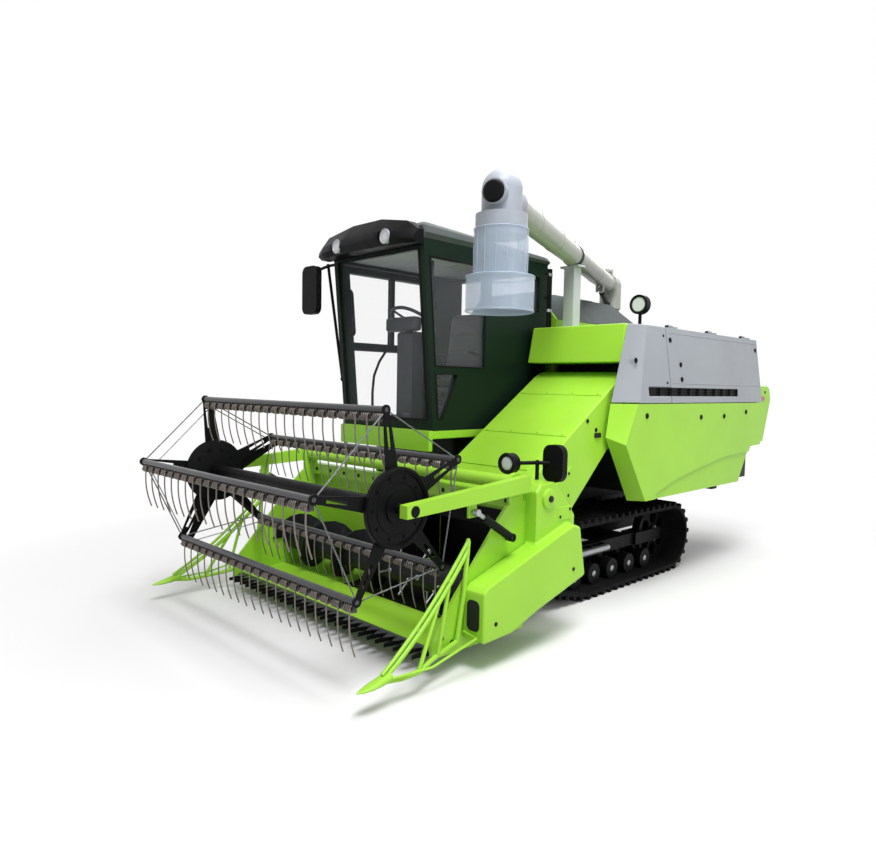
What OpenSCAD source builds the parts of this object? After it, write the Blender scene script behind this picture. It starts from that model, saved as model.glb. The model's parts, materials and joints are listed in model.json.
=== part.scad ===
// Tracked combine harvester with a cab, a feeder house, a pick-up reel and a folding grain auger.
// Every length is in millimetres. +X is forward, +Y is the machine's left and +Z is up.
// A station is a distance behind the divider tips, so a point at station s has x = nose_x - s.

/* [Overall] */
// Station of the rear end of the straw hood
rear_st = 5215; // [5100:5:5400]
// Half of the overall width, to the outside of the header's drive cover
half_w = 1222; // [1200:1:1280]

/* [Undercarriage] */
// Distance between the centres of the two tracks
track_gauge = 1244; // [1200:2:1300]
// Width of one rubber track
track_w = 450; // [380:5:480]
// Thickness of the track's belt
belt_t = 26; // [20:1:32]
// Height of a track lug above the belt
lug_h = 30; // [20:1:40]
// Length of a lug along the track
lug_len = 44; // [34:1:54]
// Smallest distance from lug to lug
lug_pitch = 92; // [84:1:110]
// Station of the drive sprocket's axle
sprocket_st = 2100; // [2080:5:2150]
// Height of the drive sprocket's axle
sprocket_z = 330; // [310:1:345]
// Radius of the drive sprocket, at the inside of the belt
sprocket_r = 214; // [195:1:220]
// Station of the rear idler's axle
idler_st = 3640; // [3620:5:3700]
// Height of the rear idler's axle
idler_z = 298; // [297:1:312]
// Radius of the rear idler, at the inside of the belt
idler_r = 240; // [225:1:241]
// Radius of a road roller
roller_r = 80; // [60:1:90]
// Number of road rollers on each side
roller_n = 5; // [4:1:6]
// Station of the first road roller
roller_front_st = 2345; // [2330:5:2380]
// Station of the last road roller
roller_rear_st = 3360; // [3320:5:3365]

/* [Chassis] */
// Height of the deck that the body stands on
deck_z = 730; // [700:5:760]
// Height of a chassis rail
rail_h = 110; // [90:5:120]
// Width of a chassis rail
rail_w = 100; // [80:5:120]
// Distance from the middle to the centre of a chassis rail
rail_y = 330; // [310:5:350]
// Station of the chassis rails' rear end
frame_rear_st = 4580; // [4500:10:4650]
// Half width of the rear cross beam
beam_half_w = 800; // [700:10:900]

/* [Thresher] */
// Station of the thresher's front wall
thresher_front_st = 3000; // [2990:5:3040]
// Station of the thresher's rear wall
thresher_rear_st = 4870; // [4820:10:4900]
// Right side of the thresher
thresher_y0 = 60; // [40:5:80]
// Left side of the thresher, behind the panels
thresher_y1 = 940; // [930:1:950]
// Height of the thresher's roof
thresher_top_z = 2000; // [1960:5:2020]
// Outside of the left panels at the seam
panel_y = 1070; // [1050:5:1090]
// Outside of the left upper panels at their top
panel_top_y = 990; // [975:5:1010]
// Height of the seam between the lower and the upper left panels
seam_z = 1445; // [1420:5:1470]
// Height of the top of the upper left panels
panel_top_z = 2030; // [2010:5:2060]
// Gap between two panels
panel_gap = 6; // [5:1:8]
// Station where the front upper panel ends and the side door begins
door_split_st = 3100; // [3050:10:3200]

/* [Grain tank] */
// Station of the tank's front wall
tank_front_st = 2960; // [2940:5:3000]
// Station of the tank's rear wall
tank_rear_st = 4430; // [4380:10:4450]
// Right side of the tank, measured to the right of the middle
tank_side = 1030; // [1000:5:1060]
// Height of the tank's upright walls
tank_top_z = 2130; // [2100:5:2160]
// Height of the tank's sloping roof
roof_rise = 250; // [200:5:270]

/* [Cab] */
// Station of the windshield's foot
cab_front_st = 1555; // [1530:5:1580]
// Distance that the windshield leans forward from foot to roof
cab_lean = 125; // [90:5:150]
// Station of the cab's rear wall
cab_rear_st = 2865; // [2840:5:2880]
// Right side of the cab, measured to the right of the middle
cab_side = 1030; // [1000:5:1040]
// Left side of the cab
cab_left_y = 26; // [20:1:40]
// Height of the cab's floor
cab_floor_z = 1220; // [1200:5:1240]
// Height of the top of the cab's pillars
cab_top_z = 2580; // [2540:5:2600]
// Thickness of the cab's walls and pillars
pillar = 55; // [45:1:65]
// Thickness of the window glass
glass_t = 8; // [6:1:10]
// Thickness of the cab's roof
cab_roof_h = 150; // [120:5:170]

/* [Header] */
// Half of the cutting width, to the inside of a side plate
cut_half = 1045; // [1040:1:1060]
// Thickness of a header side plate
side_t = 20; // [12:1:22]
// Station of the back of the header's rear wall
header_back_st = 1330; // [1320:5:1345]
// Radius of the trough below the cross auger
trough_r = 222; // [212:1:226]
// Radius of the cross auger's flights
flight_r = 190; // [170:1:200]
// Radius of the cross auger's tube
auger_tube_r = 95; // [80:1:110]
// Pitch of the cross auger's flights
flight_pitch = 380; // [320:10:440]
// Station of the cross auger's axis
auger_st = 1075; // [1065:1:1080]
// Height of the cross auger's axis
auger_z = 345; // [340:1:355]
// Distance from guard to guard on the cutter bar
guard_pitch = 76; // [70:1:90]
// Length of a cutter guard
guard_len = 105; // [80:5:120]

/* [Feeder house] */
// Station of the feeder house's pivot
feeder_st = 2747; // [2740:1:2755]
// Height of the feeder house's pivot
feeder_z = 1446; // [1430:1:1455]
// Radius of the feeder house's round upper end
feeder_r = 230; // [215:1:235]
// Slope of the feeder house's top, in degrees
feeder_slope = 33.5; // [33:0.1:34]
// Right side of the feeder house
feeder_y0 = 110; // [105:1:125]
// Left side of the feeder house
feeder_y1 = 905; // [895:1:908]
// Radius of the feeder house's pivot shaft
feeder_pin_r = 40; // [30:1:50]

/* [Reel] */
// Station of the reel's axis
reel_st = 376; // [370:1:385]
// Height of the reel's axis
reel_z = 924; // [920:1:940]
// Radius of the circle that the bats run on
reel_r = 505; // [495:1:510]
// Half of the length of a bat's tube
bat_half = 965; // [950:5:968]
// Angle of the first spider arm, in degrees
reel_phase = 97.7; // [95:0.1:100]
// Radius of a bat's tube
bat_r = 18; // [14:1:22]
// Length of a tine's straight upper part
tine_len = 150; // [120:5:160]
// Length of a tine's bent tip
tine_tip = 105; // [80:5:110]
// Number of tines on a bat
tine_n = 20; // [16:1:24]
// Thickness of a tine
tine_d = 8; // [6:1:10]
// Offset of the control ring from the reel's axis, rearward
control_back = 55; // [50:1:60]
// Offset of the control ring from the reel's axis, downward
control_drop = 55; // [50:1:60]
// Station of the reel frame's pivot
reel_pivot_st = 1240; // [1235:1:1250]
// Height of the reel frame's pivot
reel_pivot_z = 985; // [980:1:1000]

/* [Unloading auger] */
// Station of the riser's axis
riser_st = 4650; // [4640:5:4680]
// Distance of the riser's axis to the right of the middle
riser_side = 480; // [460:5:500]
// Radius of the riser tube
riser_r = 100; // [85:1:110]
// Height of the boom's axis
boom_z = 2640; // [2630:1:2660]
// Radius of the boom's pipe
boom_r = 85; // [75:1:95]
// Length of the boom from the riser's axis to the spout's axis
boom_len = 3750; // [3720:10:3780]
// Angle that the stowed boom points to the left of straight ahead, in degrees
boom_angle = 22.4; // [22:0.1:23]
// Radius of the discharge sleeve
sleeve_r = 158; // [140:2:170]
// Radius of the sleeve's wide lower collar
collar_r = 200; // [185:1:210]
// Height of the sleeve's lower end
sleeve_z = 1980; // [1950:10:2020]

/* [Hidden] */
$fn = 48;

// Colours
lime = [0.55, 0.78, 0.16];
lime_dark = [0.40, 0.62, 0.12];
panel_gray = [0.66, 0.68, 0.71];
roof_gray = [0.75, 0.77, 0.79];
black = [0.06, 0.06, 0.07];
charcoal = [0.16, 0.17, 0.19];
steel = [0.62, 0.63, 0.65];
olive = [0.62, 0.63, 0.50];
milky = [0.88, 0.90, 0.88];
glass_blue = [0.30, 0.42, 0.48];
lamp_white = [0.92, 0.93, 0.95];

// Overrun of a cut, running clearance of a pin, and gap that keeps two moving pieces apart
cut = 10;
fit = 0.3;
gap = 6;

// Reel: five bats, the eyes at the ends of the spider arms, and the layers of plates at its ends
bat_n = 5;
eye_r = 26;
arm_half = 18;
arm_in = 1;
pin_r = 12;
layer_t = 10;
layer_gap = 5;
spider_y = bat_half + layer_gap;
crank_y = spider_y + layer_t + layer_gap;
ring_y = crank_y + layer_t + layer_gap;
reel_shaft_r = 40;
reel_stub_r = 30;
hub_r = 110;
ring_r = 135;
ring_w = 34;
disc_r = 212;
disc_t = 22;
disc_rim = 26;
arm_root = 52;
slot_w = 20;
slot_share = 0.6;
slot_len_share = 0.26;
disc_in = 9;
link_r = 4;
link_in = 19;
tine_bend = 15;
band_h = 34;
band_t = 8;
function bat_angle(i) = reel_phase + 360 * i / bat_n;
function bat_st(i) = reel_st + reel_r * cos(bat_angle(i));
function bat_z(i) = reel_z + reel_r * sin(bat_angle(i));

// The foremost point is the spider eye of the bat that points forward
front_st = bat_st(1) - eye_r;
nose_x = (rear_st + front_st) / 2;

// Track loop: belt circles round the sprocket, the idler and the two end rollers,
// each as [station, height, radius at the outside of the belt]
track_y = track_gauge / 2;
roller_z = lug_h + belt_t + roller_r;
loop = [[sprocket_st, sprocket_z, sprocket_r + belt_t], [idler_st, idler_z, idler_r + belt_t],
    [roller_rear_st, roller_z, roller_r + belt_t], [roller_front_st, roller_z, roller_r + belt_t]];
loop_n = len(loop);
function leave(i) = let (a = loop[i], b = loop[(i + 1) % loop_n], v = b - a)
    atan2(v[1], v[0]) + acos((a[2] - b[2]) / norm([v[0], v[1]]));
function arrive(i) = leave((i + loop_n - 1) % loop_n);
function sweep(i) = (arrive(i) - leave(i) + 720) % 360;
arc_len = [for (i = [0 : loop_n - 1]) sweep(i) * PI / 180 * loop[i][2]];
run_len = [for (i = [0 : loop_n - 1])
    let (a = loop[i], b = loop[(i + 1) % loop_n], v = b - a)
    sqrt(v[0] * v[0] + v[1] * v[1] - v[2] * v[2])];
function total(v, i = 0) = i == len(v) ? 0 : v[i] + total(v, i + 1);
loop_len = total(arc_len) + total(run_len);
lug_n = floor(loop_len / lug_pitch);
function ray(a) = [cos(a), sin(a)];
function on_arc(i, d, h) = let (c = loop[i])
    [c[0], c[1]] + (c[2] + h) * ray(arrive(i) - d / c[2] * 180 / PI);
function on_run(i, d, h) = let (c = loop[i], a = leave(i))
    [c[0], c[1]] + (c[2] + h) * ray(a) + d * ray(a - 90);
function along(d, h, i = 0) = d <= arc_len[i] ? on_arc(i, d, h)
    : d <= arc_len[i] + run_len[i] ? on_run(i, d - arc_len[i], h)
    : along(d - arc_len[i] - run_len[i], h, (i + 1) % loop_n);
lug_slope_share = 0.2;
inner_steps = 6;
belt_clear = 0.6;

// Feeder house: the lower front end and its underside
feeder_mouth_z = 250;
belly_st = 1750;
belly_z = 450;
knee_st = 2466;
knee_z = 1104;
heel_angle = 60;
tangent_st = feeder_st - feeder_r * sin(feeder_slope);
tangent_z = feeder_z + feeder_r * cos(feeder_slope);

// Chassis: rails that start behind the feeder's underside, roller beams inside the track loops, cross tubes
rail_z = deck_z - rail_h;
belly_share = (deck_z - belly_z) / (knee_z - belly_z);
frame_front_st = belly_st + (knee_st - belly_st) * belly_share + gap * 2;
beam_w = 90;
beam_h = 100;
beam_lift = 30;
beam_z = roller_z + roller_r + beam_lift;
axle_r = 20;
hub_bore_r = axle_r + fit;
roller_w = 80;
roller_split = 44;
bracket_w = 30;
cross_shares = [0.16, 0.80];
cross_w = 90;
idler_w = 70;
rim_t = 24;
spoke_n = 6;
spoke_hole_share = 0.385;
shaft_r = 35;
tow_r = 16;
tow_w = 120;
tow_t = 30;
tow_drop = 70;

// Gearbox between the tracks, with its final drive housings
gearbox_y0 = -280;
gearbox_y1 = feeder_y0 - gap * 2;
gearbox_back = 150;
gearbox_front = 190;
gearbox_drop = 100;
housing_r = 75;

// Header lift cylinder: pins on the chassis and below the feeder house
lift_y = 240;
lift_base_st = 2260;
lift_base_z = 560;
lift_tip_st = 1650;
lift_tip_z = 352;
lift_r = 34;
lift_rod_r = 19;
lift_pin_r = 15;
ear_t = 14;
ear_r = 32;
eye_more = 2;
lift_a = [lift_base_st, lift_y, lift_base_z];
lift_b = [lift_tip_st, lift_y, lift_tip_z];
barrel_share = 0.8;
rod_share = 0.3;
bore_share = 0.25;

// Left panels: outlines as shares of the length from the front corner to the rear wall
// and of the height below or above the seam
lower_front_st = 2380;
lower_z0 = 715;
lower_len = thresher_rear_st - lower_front_st;
lower_h = seam_z - panel_gap / 2 - lower_z0;
lower_inner_shares = [[0.02, 1], [1, 1], [1, 0.46], [0.909, 0.45], [0.823, 0.01], [0.13, 0], [0, 0.67]];
lower_outer_shares = [[0.085, 1], [1, 1], [1, 0.46], [0.909, 0.45], [0.823, 0.02], [0.145, 0.01],
    [0.025, 0.6]];
crease_shares = [[0.2, -0.1], [0.21, 0.07], [0.33, 0.18], [0.49, 0.27], [0.68, 0.36], [0.95, 0.39],
    [0.95, -0.1]];
crease_depth = 14;
upper_z0 = seam_z + panel_gap / 2;
upper_front_st = 2430;
upper_lean = 190;
upper_chamfer = 190;
vent_front_st = 2761;
vent_rear_st = 4336;
vent_lift = 55;
vent_h = 65;
vent_depth = 30;

// Front cover over the feeder house's upper end
cover_ahead = 192;
cover_front_st = feeder_st - cover_ahead;
cover_lean = 65;
cover_lift = 66;
cover_z0 = feeder_z + feeder_r + cover_lift;
cover_in = 10;
cover_y0 = thresher_y0 + cover_in;

// The thresher's front wall stays behind the feeder's round end
feeder_clear = 18;
front_wall_st = max(thresher_front_st, feeder_st + feeder_r + feeder_clear);

// Cheeks that carry the feeder house's pivot shaft
cheek_t = 24;
cheek_h = 280;
cheek_front = 110;

// Straw hood, open below
hood_wall = 22;
hood_in = 50;
hood_y1 = panel_y - hood_in;
hood_z0 = 1062;
hood_h = 540;
hood_len = rear_st - thresher_rear_st;
hood_shares = [[0, 0], [0, 1], [0.74, 1], [0.9, 0.94], [1, 0.76], [0.56, 0.01]];

// Door sizes and hinges
door_front = 60;
door_len = 910;
hinge_r = 14;
hinge_pin_r = 7;
hinge_len = 60;
hinge_end = 14;
hinge_clear = 2;
leaf_t = 16;
side_hinge_shares = [0.1, 0.5, 0.9];
cab_hinge_shares = [0.16, 0.84];
side_hinge_y = thresher_y1 - hinge_r;
side_hinge_z = panel_top_z + hinge_r + gap;
cab_hinge_st = cab_front_st + door_front + door_len + hinge_r;
cab_hinge_y = -cab_side - hinge_r - gap / 2;

// Grain tank: hopper outline as shares of its width from the left and its height from the deck
tank_gap = 4;
tank_y1 = thresher_y0 - tank_gap;
tank_w = tank_side + tank_y1;
tank_h = tank_top_z - deck_z;
tank_shares = [[0, 0.22], [0, 1], [1, 1], [1, 0.36], [0.62, 0.08], [0.28, 0.08]];
leg_shares = [0.10, 0.84];
leg_len = 100;
leg_h_share = 0.25;
roof_in = 230;
gable_t = 30;
gable_in = 1;

// Engine below the cab, and the screen beside it
engine_len = 720;
engine_w = 560;
engine_st = 2060;
engine_y0 = -810;
screen_t = 40;
screen_drop = 60;
screen_frame = 60;
slat_n = 14;
slat_share = 0.5;
stack_share = 0.75;

// Exhaust stack between the cab and the tank
stack_r = 32;
stack_st = (cab_rear_st + tank_front_st) / 2;
stack_z0 = deck_z + tank_h * stack_share;

// Cab floor with the green front apron, the access steps and the cab's inner sizes
floor_t = 60;
apron_t = 40;
apron_drop = 150;
cab_w = cab_side + cab_left_y;
cab_h = cab_top_z - cab_floor_z;
sill = 80;
header_rail = 70;
left_rim = 120;
rear_sill = 640;
door_gap = 5;
door_t = 42;
step_n = 2;
step_w = 360;
screen_st0 = cab_front_st + step_w + gap;
step_d = 150;
step_t = 25;
step_drop = 240;
step_rail = 20;

// Height in the cab as a share, and the station of the front wall there
function front_at(z) = cab_front_st - cab_lean * (z - cab_floor_z) / cab_h;
cab_outline = [[front_at(cab_floor_z), cab_floor_z], [front_at(cab_top_z), cab_top_z],
    [cab_rear_st, cab_top_z], [cab_rear_st, cab_floor_z]];
door_s0 = cab_front_st + door_front;
door_s1 = door_s0 + door_len;
door_z1 = cab_top_z - header_rail;
left_post_st = 2125;
left_post_w = 60;
left_rail_z = 1660;
left_rail_h = 60;
left_top_z = cab_top_z - left_rim;
rear_pane_z = 2180;
brace_top_st = 1800;
brace_low_st = 1640;
door_rail_z = 1860;
door_rail_h = 60;
door_bar_w = 36;
door_bar_share = 0.46;

// Cab roof: each ring's distance out from the walls and share of the height, and the fall to the rear
roof_lip = 16;
roof_round = 64;
roof_crown = 190;
roof_rings = [[0, 0], [roof_lip, 0.25], [0, 0.6], [-roof_round, 0.87], [-roof_crown, 1]];
roof_back = 85;
roof_fall = 70;
roof_front_r = 25;
roof_rear_r = 130;
roof_steps = 4;
roof_s0 = front_at(cab_top_z);
roof_s1 = cab_rear_st + roof_back;
function roof_point(s, y, r, a, share) = [-s + r * cos(a), y + r * sin(a),
    cab_top_z + share * (cab_roof_h - roof_fall * (s - r * cos(a) - roof_s0) / (roof_s1 - roof_s0))];
function roof_ring(out, share) = let (f = roof_s0 - min(0, out) + roof_front_r,
    b = roof_s1 + out - roof_rear_r,
    y0 = -cab_side - out, y1 = cab_left_y + out) [
    for (c = [[f, y1 - roof_front_r, roof_front_r, 90], [f, y0 + roof_front_r, roof_front_r, 0],
        [b, y0 + roof_rear_r, roof_rear_r, -90], [b, y1 - roof_rear_r, roof_rear_r, -180]],
            k = [0 : roof_steps])
        roof_point(c[0], c[1], c[2], c[3] - 90 * k / roof_steps, share)];

// Roof visor, as shares of its length, height and width, with its recessed lamps
visor_len = 190;
visor_h = 205;
visor_drop = 50;
visor_side = 60;
visor_s0 = roof_s0 - visor_len;
visor_w = cab_left_y + cab_side + visor_side;
visor_shares = [[0, 0.22], [0.06, 0.5], [0.47, 1], [1, 1], [1, 0], [0.28, 0.02]];
visor_ring_shares = [[0, 0.5], [0.08, 0.8], [0.3, 1], [0.6, 1], [0.9, 0.8], [1, 0.55]];
lamp_r = 50;
lamp_d = 110;
lamp_in = 30;
lamp_rim = 12;
lamp_shares = [0.2, 0.75];
lamp_share = 0.3;

// Round lamp on a stalk behind the front cover
stalk_lamp_st = 3200;
stalk_lamp_y = 710;
stalk_lamp_z = 2230;
stalk_lamp_r = 72;
stalk_lamp_d = 60;

// Seat and console
seat_w = 480;
seat_d = 440;
seat_h = 130;
seat_base_h = 300;
seat_back_h = 560;
seat_back_t = 120;
seat_st = 2130;
column_st = 1760;
column_d = 130;
column_w = 180;
column_h = 750;

// Header: wall, top beam, trough and the outline of the side plates
wall_t = 32;
header_z0 = 100;
header_wall_z = 830;
beam_size = 80;
lip_st = 640;
lip_z = 122;
mouth_in = 45;
trough_step = 6;
trough_end = 114;
flight_t = 8;
flight_steps = 16;
bar_depth = 40;
mouth_z0 = 290;
mouth_h = 400;
mouth_depth = 190;
side_front_st = 575;
side_h = 800;
side_len = header_back_st - side_front_st;
side_shares = [[0, 0], [-0.02, 0.1], [0.04, 0.2], [0.68, 0.86], [0.78, 0.95], [1, 0.97], [1, 0]];
ear_plate_r = 62;

// Header drive cover and housing beside the feeder house
drive_front_st = 800;
drive_len = 945;
drive_z0 = 165;
drive_h = 550;
drive_shares = [[0, 0], [0, 0.5], [0.04, 0.555], [0.87, 1], [0.93, 0.97], [1, 0.39], [0.5, 0.16],
    [0.26, 0.02]];
house_len = 390;
house_z0 = 500;
house_h = 480;
house_y1 = 1150;
house_shares = [[0, 0], [0, 0.9], [0.1, 0.99], [0.45, 1], [0.58, 0.92], [1, 0.55], [1, 0.2]];

post_share = 0.45;

// Post with the mirror and the lamp on the drive housing
post_st = header_back_st + house_len * post_share;
post_y = 1010;
post_z = 1085;
head_lamp_st = 1340;
head_lamp_y = 930;
head_lamp_r = 62;
head_lamp_d = 50;
side_mirror_st = 1565;
side_mirror_y = 1100;
side_mirror_w = 150;
side_mirror_h = 230;

// Dividers: rods in the plane of each divider tip
tip_y = 1158;
tip_z = 135;
tip_len = 130;
tip_r = 26;
rod_r = 14;
knot_r = 18;
divider_len = 815;
divider_rise = 525;
divider_skid = 390;
divider_foot = 165;
divider_foot_rise = 30;
inner_rise = 48;
inner_rod_r = 8;
strut_share = 0.75;

// Reel frame: arms outside the side plates
arm_gap = 10;
arm_y0 = cut_half + side_t + arm_gap;
arm_w = 56;
arm_h = 96;
arm_tip_h = 66;
arm_over = 55;
tube_r = 42;
reel_lift_base_st = 1130;
reel_lift_base_z = 690;
reel_lift_tip_st = 840;
reel_lift_tip_z = 865;
reel_lift_r = 24;
reel_lift_rod_r = 13;
reel_lift_pin_r = 10;
reel_lift_y = arm_y0 + ear_t + reel_lift_r + gap;
reel_a = [reel_lift_base_st, reel_lift_y, reel_lift_base_z];
reel_b = [reel_lift_tip_st, reel_lift_y, reel_lift_tip_z];

// Unloading auger: elbow, hinge, spout and lift cylinder
clamp_shares = [0.4, 0.9];
elbow_r = 112;
elbow_len = 175;
flange_t = 14;
flange_rim = 18;
flange_r = boom_r + flange_rim;
boom_eye_r = 22;
boom_hinge_r = 10;
hinge_up = flange_r + boom_eye_r + gap;
boom_ear_t = 16;
boom_lug_t = 40;
spout_r = 118;
spout_up = 42;
spout_drop = 100;
spout_neck = 60;
boss_r = 72;
boss_len = 34;
sleeve_t = 7;
sleeve_h = 480;
collar_h = 210;
auger_lift_out = 40;
auger_lift_base = elbow_r + auger_lift_out;
auger_base_drop = 215;
auger_lift_base_z = boom_z - auger_base_drop;
auger_lift_tip = 600;
auger_lift_r = 26;
elbow_z = auger_lift_base_z - auger_lift_r - gap;
auger_lift_rod_r = 14;
auger_lift_pin_r = 11;
auger_lift_drop = 26;
auger_tip_z = boom_z - boom_r - auger_lift_drop;
auger_a = [-auger_lift_base, 0, auger_lift_base_z];
auger_b = [-auger_lift_tip, 0, auger_tip_z];
neck_h = 45;
pipe_len = boom_len - spout_r - spout_neck - elbow_len - gap;

// Auger rest
rest_st = 2890;
rest_d = 100;
rest_pad = 190;
rest_t = 16;
rest_y = (riser_st - rest_st - rest_d / 2) * tan(boom_angle) - riser_side;
rest_z = boom_z - boom_r - fit * 2;

// Mirrors and stays
mirror_w = 200;
mirror_h = 380;
mirror_t = 50;
mirror_round = 55;
mirror_step = 15;
right_angle = 90;
stay_r = 12;
mirror_ahead = 204;
mirror_drop = 30;
grab_out = 120;
grab_low_out = 26;
grab_drop = 70;
grab_low_share = 0.27;
grab_z1 = cab_top_z - grab_drop;
grab_z0 = cab_floor_z + cab_h * grab_low_share;

// Placing and drawing helpers
module place() translate([nose_x, 0, 0]) children();
function flip(points) = [for (p = points) [-p[0], p[1]]];
function spread(shares, s0, len_s, z0, len_z) = [for (p = shares) [s0 + p[0] * len_s, z0 + p[1] * len_z]];
function at_y(points, y) = [for (p = points) [-p[0], y, p[1]]];
module slab(s0, s1, y0, y1, z0, z1) translate([-s1, y0, z0]) cube([s1 - s0, y1 - y0, z1 - z0]);
module profile(points, y0, y1)
    translate([0, y1, 0]) rotate([90, 0, 0]) linear_extrude(y1 - y0) polygon(flip(points));
module cross_rod(s, z, r, y0, y1)
    translate([-s, y1, z]) rotate([90, 0, 0]) cylinder(r = r, h = y1 - y0);
module bar(a, b, r) {
    v = [a[0] - b[0], b[1] - a[1], b[2] - a[2]];
    translate([-a[0], a[1], a[2]]) rotate([0, acos(v[2] / norm(v)), atan2(v[1], v[0])])
        cylinder(r = r, h = norm(v));
}
module knot(p, r) translate([-p[0], p[1], p[2]]) sphere(r = r);
module skin(rings) {
    n = len(rings[0]);
    m = len(rings);
    polyhedron([for (ring = rings, p = ring) p], concat(
        [[for (i = [0 : n - 1]) n - 1 - i]],
        [[for (i = [0 : n - 1]) (m - 1) * n + i]],
        [for (k = [0 : m - 2], i = [0 : n - 1]) [k * n + i, k * n + (i + 1) % n,
            (k + 1) * n + (i + 1) % n]],
        [for (k = [0 : m - 2], i = [0 : n - 1]) [k * n + i, (k + 1) * n + (i + 1) % n, (k + 1) * n + i]]));
}
module both_sides() {
    children();
    mirror([0, 1, 0]) children();
}

// Undercarriage
module track() color(black)
    place() difference() {
        profile([for (k = [0 : lug_n - 1], q = [[0, 0], [lug_slope_share, 1], [1 - lug_slope_share, 1],
            [1, 0]])
            along(k * loop_len / lug_n + q[0] * lug_len, q[1] * lug_h)],
            track_y - track_w / 2, track_y + track_w / 2);
        profile([for (k = [0 : inner_steps * lug_n - 1]) along(k * loop_len / lug_n / inner_steps,
            -belt_t)],
            track_y - track_w / 2 - cut, track_y + track_w / 2 + cut);
    }

module track_left() track();

module track_right() mirror([0, 1, 0]) track();

module roller(s) for (side = [-1, 1])
    difference() {
        cross_rod(s, roller_z, roller_r - belt_clear,
            track_y + side * (roller_split + roller_w / 2) - roller_w / 2,
            track_y + side * (roller_split + roller_w / 2) + roller_w / 2);
        cross_rod(s, roller_z, hub_bore_r, track_y - track_w, track_y + track_w);
    }

module spoked_wheel(s, z, r, bore, w) difference() {
    cross_rod(s, z, r - belt_clear, track_y - w / 2, track_y + w / 2);
    cross_rod(s, z, bore + fit, track_y - w, track_y + w);
    for (k = [0 : spoke_n - 1])
        let (a = 360 * (k + 1 / 2) / spoke_n, m = (r - rim_t + shaft_r * 2) / 2)
        cross_rod(s + m * cos(a), z + m * sin(a), (r - rim_t - shaft_r * 2) * spoke_hole_share,
            track_y - w, track_y + w);
}

module track_wheels() color(steel) place() both_sides() {
    for (k = [0 : roller_n - 1]) roller(roller_at(k));
    spoked_wheel(sprocket_st, sprocket_z, sprocket_r, shaft_r, idler_w);
    spoked_wheel(idler_st, idler_z, idler_r, shaft_r, idler_w);
}

function roller_at(k) = roller_front_st + (roller_rear_st - roller_front_st) * k / (roller_n - 1);

module track_frame() {
    slab(roller_front_st - axle_r, idler_st - idler_r - gap, track_y - beam_w / 2, track_y + beam_w / 2,
        beam_z, beam_z + beam_h);
    for (side = [-1, 1]) let (y = track_y + side * (idler_w / 2 + gap + bracket_w / 2))
        slab(idler_st - idler_r - gap - beam_h, idler_st + shaft_r * 2, y - bracket_w / 2,
            y + bracket_w / 2,
            beam_z, beam_z + beam_h);
    cross_rod(idler_st, idler_z, shaft_r, track_y - idler_w / 2 - gap - cut,
        track_y + idler_w / 2 + gap + cut);
    for (k = [0 : roller_n - 1]) {
        slab(roller_at(k) - axle_r * 1.5, roller_at(k) + axle_r * 1.5, track_y - bracket_w / 2,
            track_y + bracket_w / 2, roller_z - axle_r * 1.5, beam_z + cut);
        cross_rod(roller_at(k), roller_z, axle_r, track_y - roller_split - roller_w,
            track_y + roller_split + roller_w);
    }
    for (share = cross_shares) let (s = roller_front_st + share * (roller_rear_st - roller_front_st))
        slab(s, s + cross_w, rail_y - rail_w / 2, rail_y + rail_w / 2, beam_z, rail_z);
}

module track_frames() color(charcoal) place() {
    both_sides() track_frame();
    for (share = cross_shares) let (s = roller_front_st + share * (roller_rear_st - roller_front_st))
        slab(s, s + cross_w, -track_y, track_y, beam_z, beam_z + beam_h);
}

module chassis_frame() color(charcoal) place() difference() {
    union() {
        both_sides() slab(frame_front_st, frame_rear_st, rail_y - rail_w / 2, rail_y + rail_w / 2,
            rail_z, deck_z);
        slab(lift_base_st - rail_w / 2, lift_base_st + rail_w / 2, -rail_y, rail_y, rail_z, deck_z);
        slab(frame_rear_st - rail_w, frame_rear_st, -beam_half_w, beam_half_w, rail_z, deck_z);
        slab(frame_rear_st - tow_t, frame_rear_st, -tow_w / 2, tow_w / 2, rail_z - tow_drop * 2,
            rail_z + cut);
        for (side = [-1, 1]) let (y = lift_y + side * (lift_r + gap + ear_t / 2))
            slab(lift_base_st - ear_r, lift_base_st + ear_r, y - ear_t / 2, y + ear_t / 2,
                lift_base_z - ear_r, rail_z + cut);
        cross_rod(lift_base_st, lift_base_z, lift_pin_r, lift_y - lift_r - gap - cut,
            lift_y + lift_r + gap + cut);
    }
    translate([-frame_rear_st - cut, 0, rail_z - tow_drop]) rotate([0, 90, 0])
        cylinder(r = tow_r, h = tow_t + cut * 2);
}

module gearbox() color(charcoal) place() {
    slab(sprocket_st - gearbox_front, sprocket_st + gearbox_back, gearbox_y0, gearbox_y1,
        sprocket_z - gearbox_drop, rail_z - gap);
    slab(frame_front_st, frame_front_st + rail_w, gearbox_y0, gearbox_y1, rail_z - gap, rail_z);
    slab(frame_front_st, frame_front_st + rail_w, -rail_y, gearbox_y1, rail_z - gap * 2, rail_z);
    cross_rod(sprocket_st, sprocket_z, housing_r, -track_y + idler_w / 2 + gap,
        track_y - idler_w / 2 - gap);
    cross_rod(sprocket_st, sprocket_z, shaft_r, -track_y - idler_w, track_y + idler_w);
}

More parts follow.
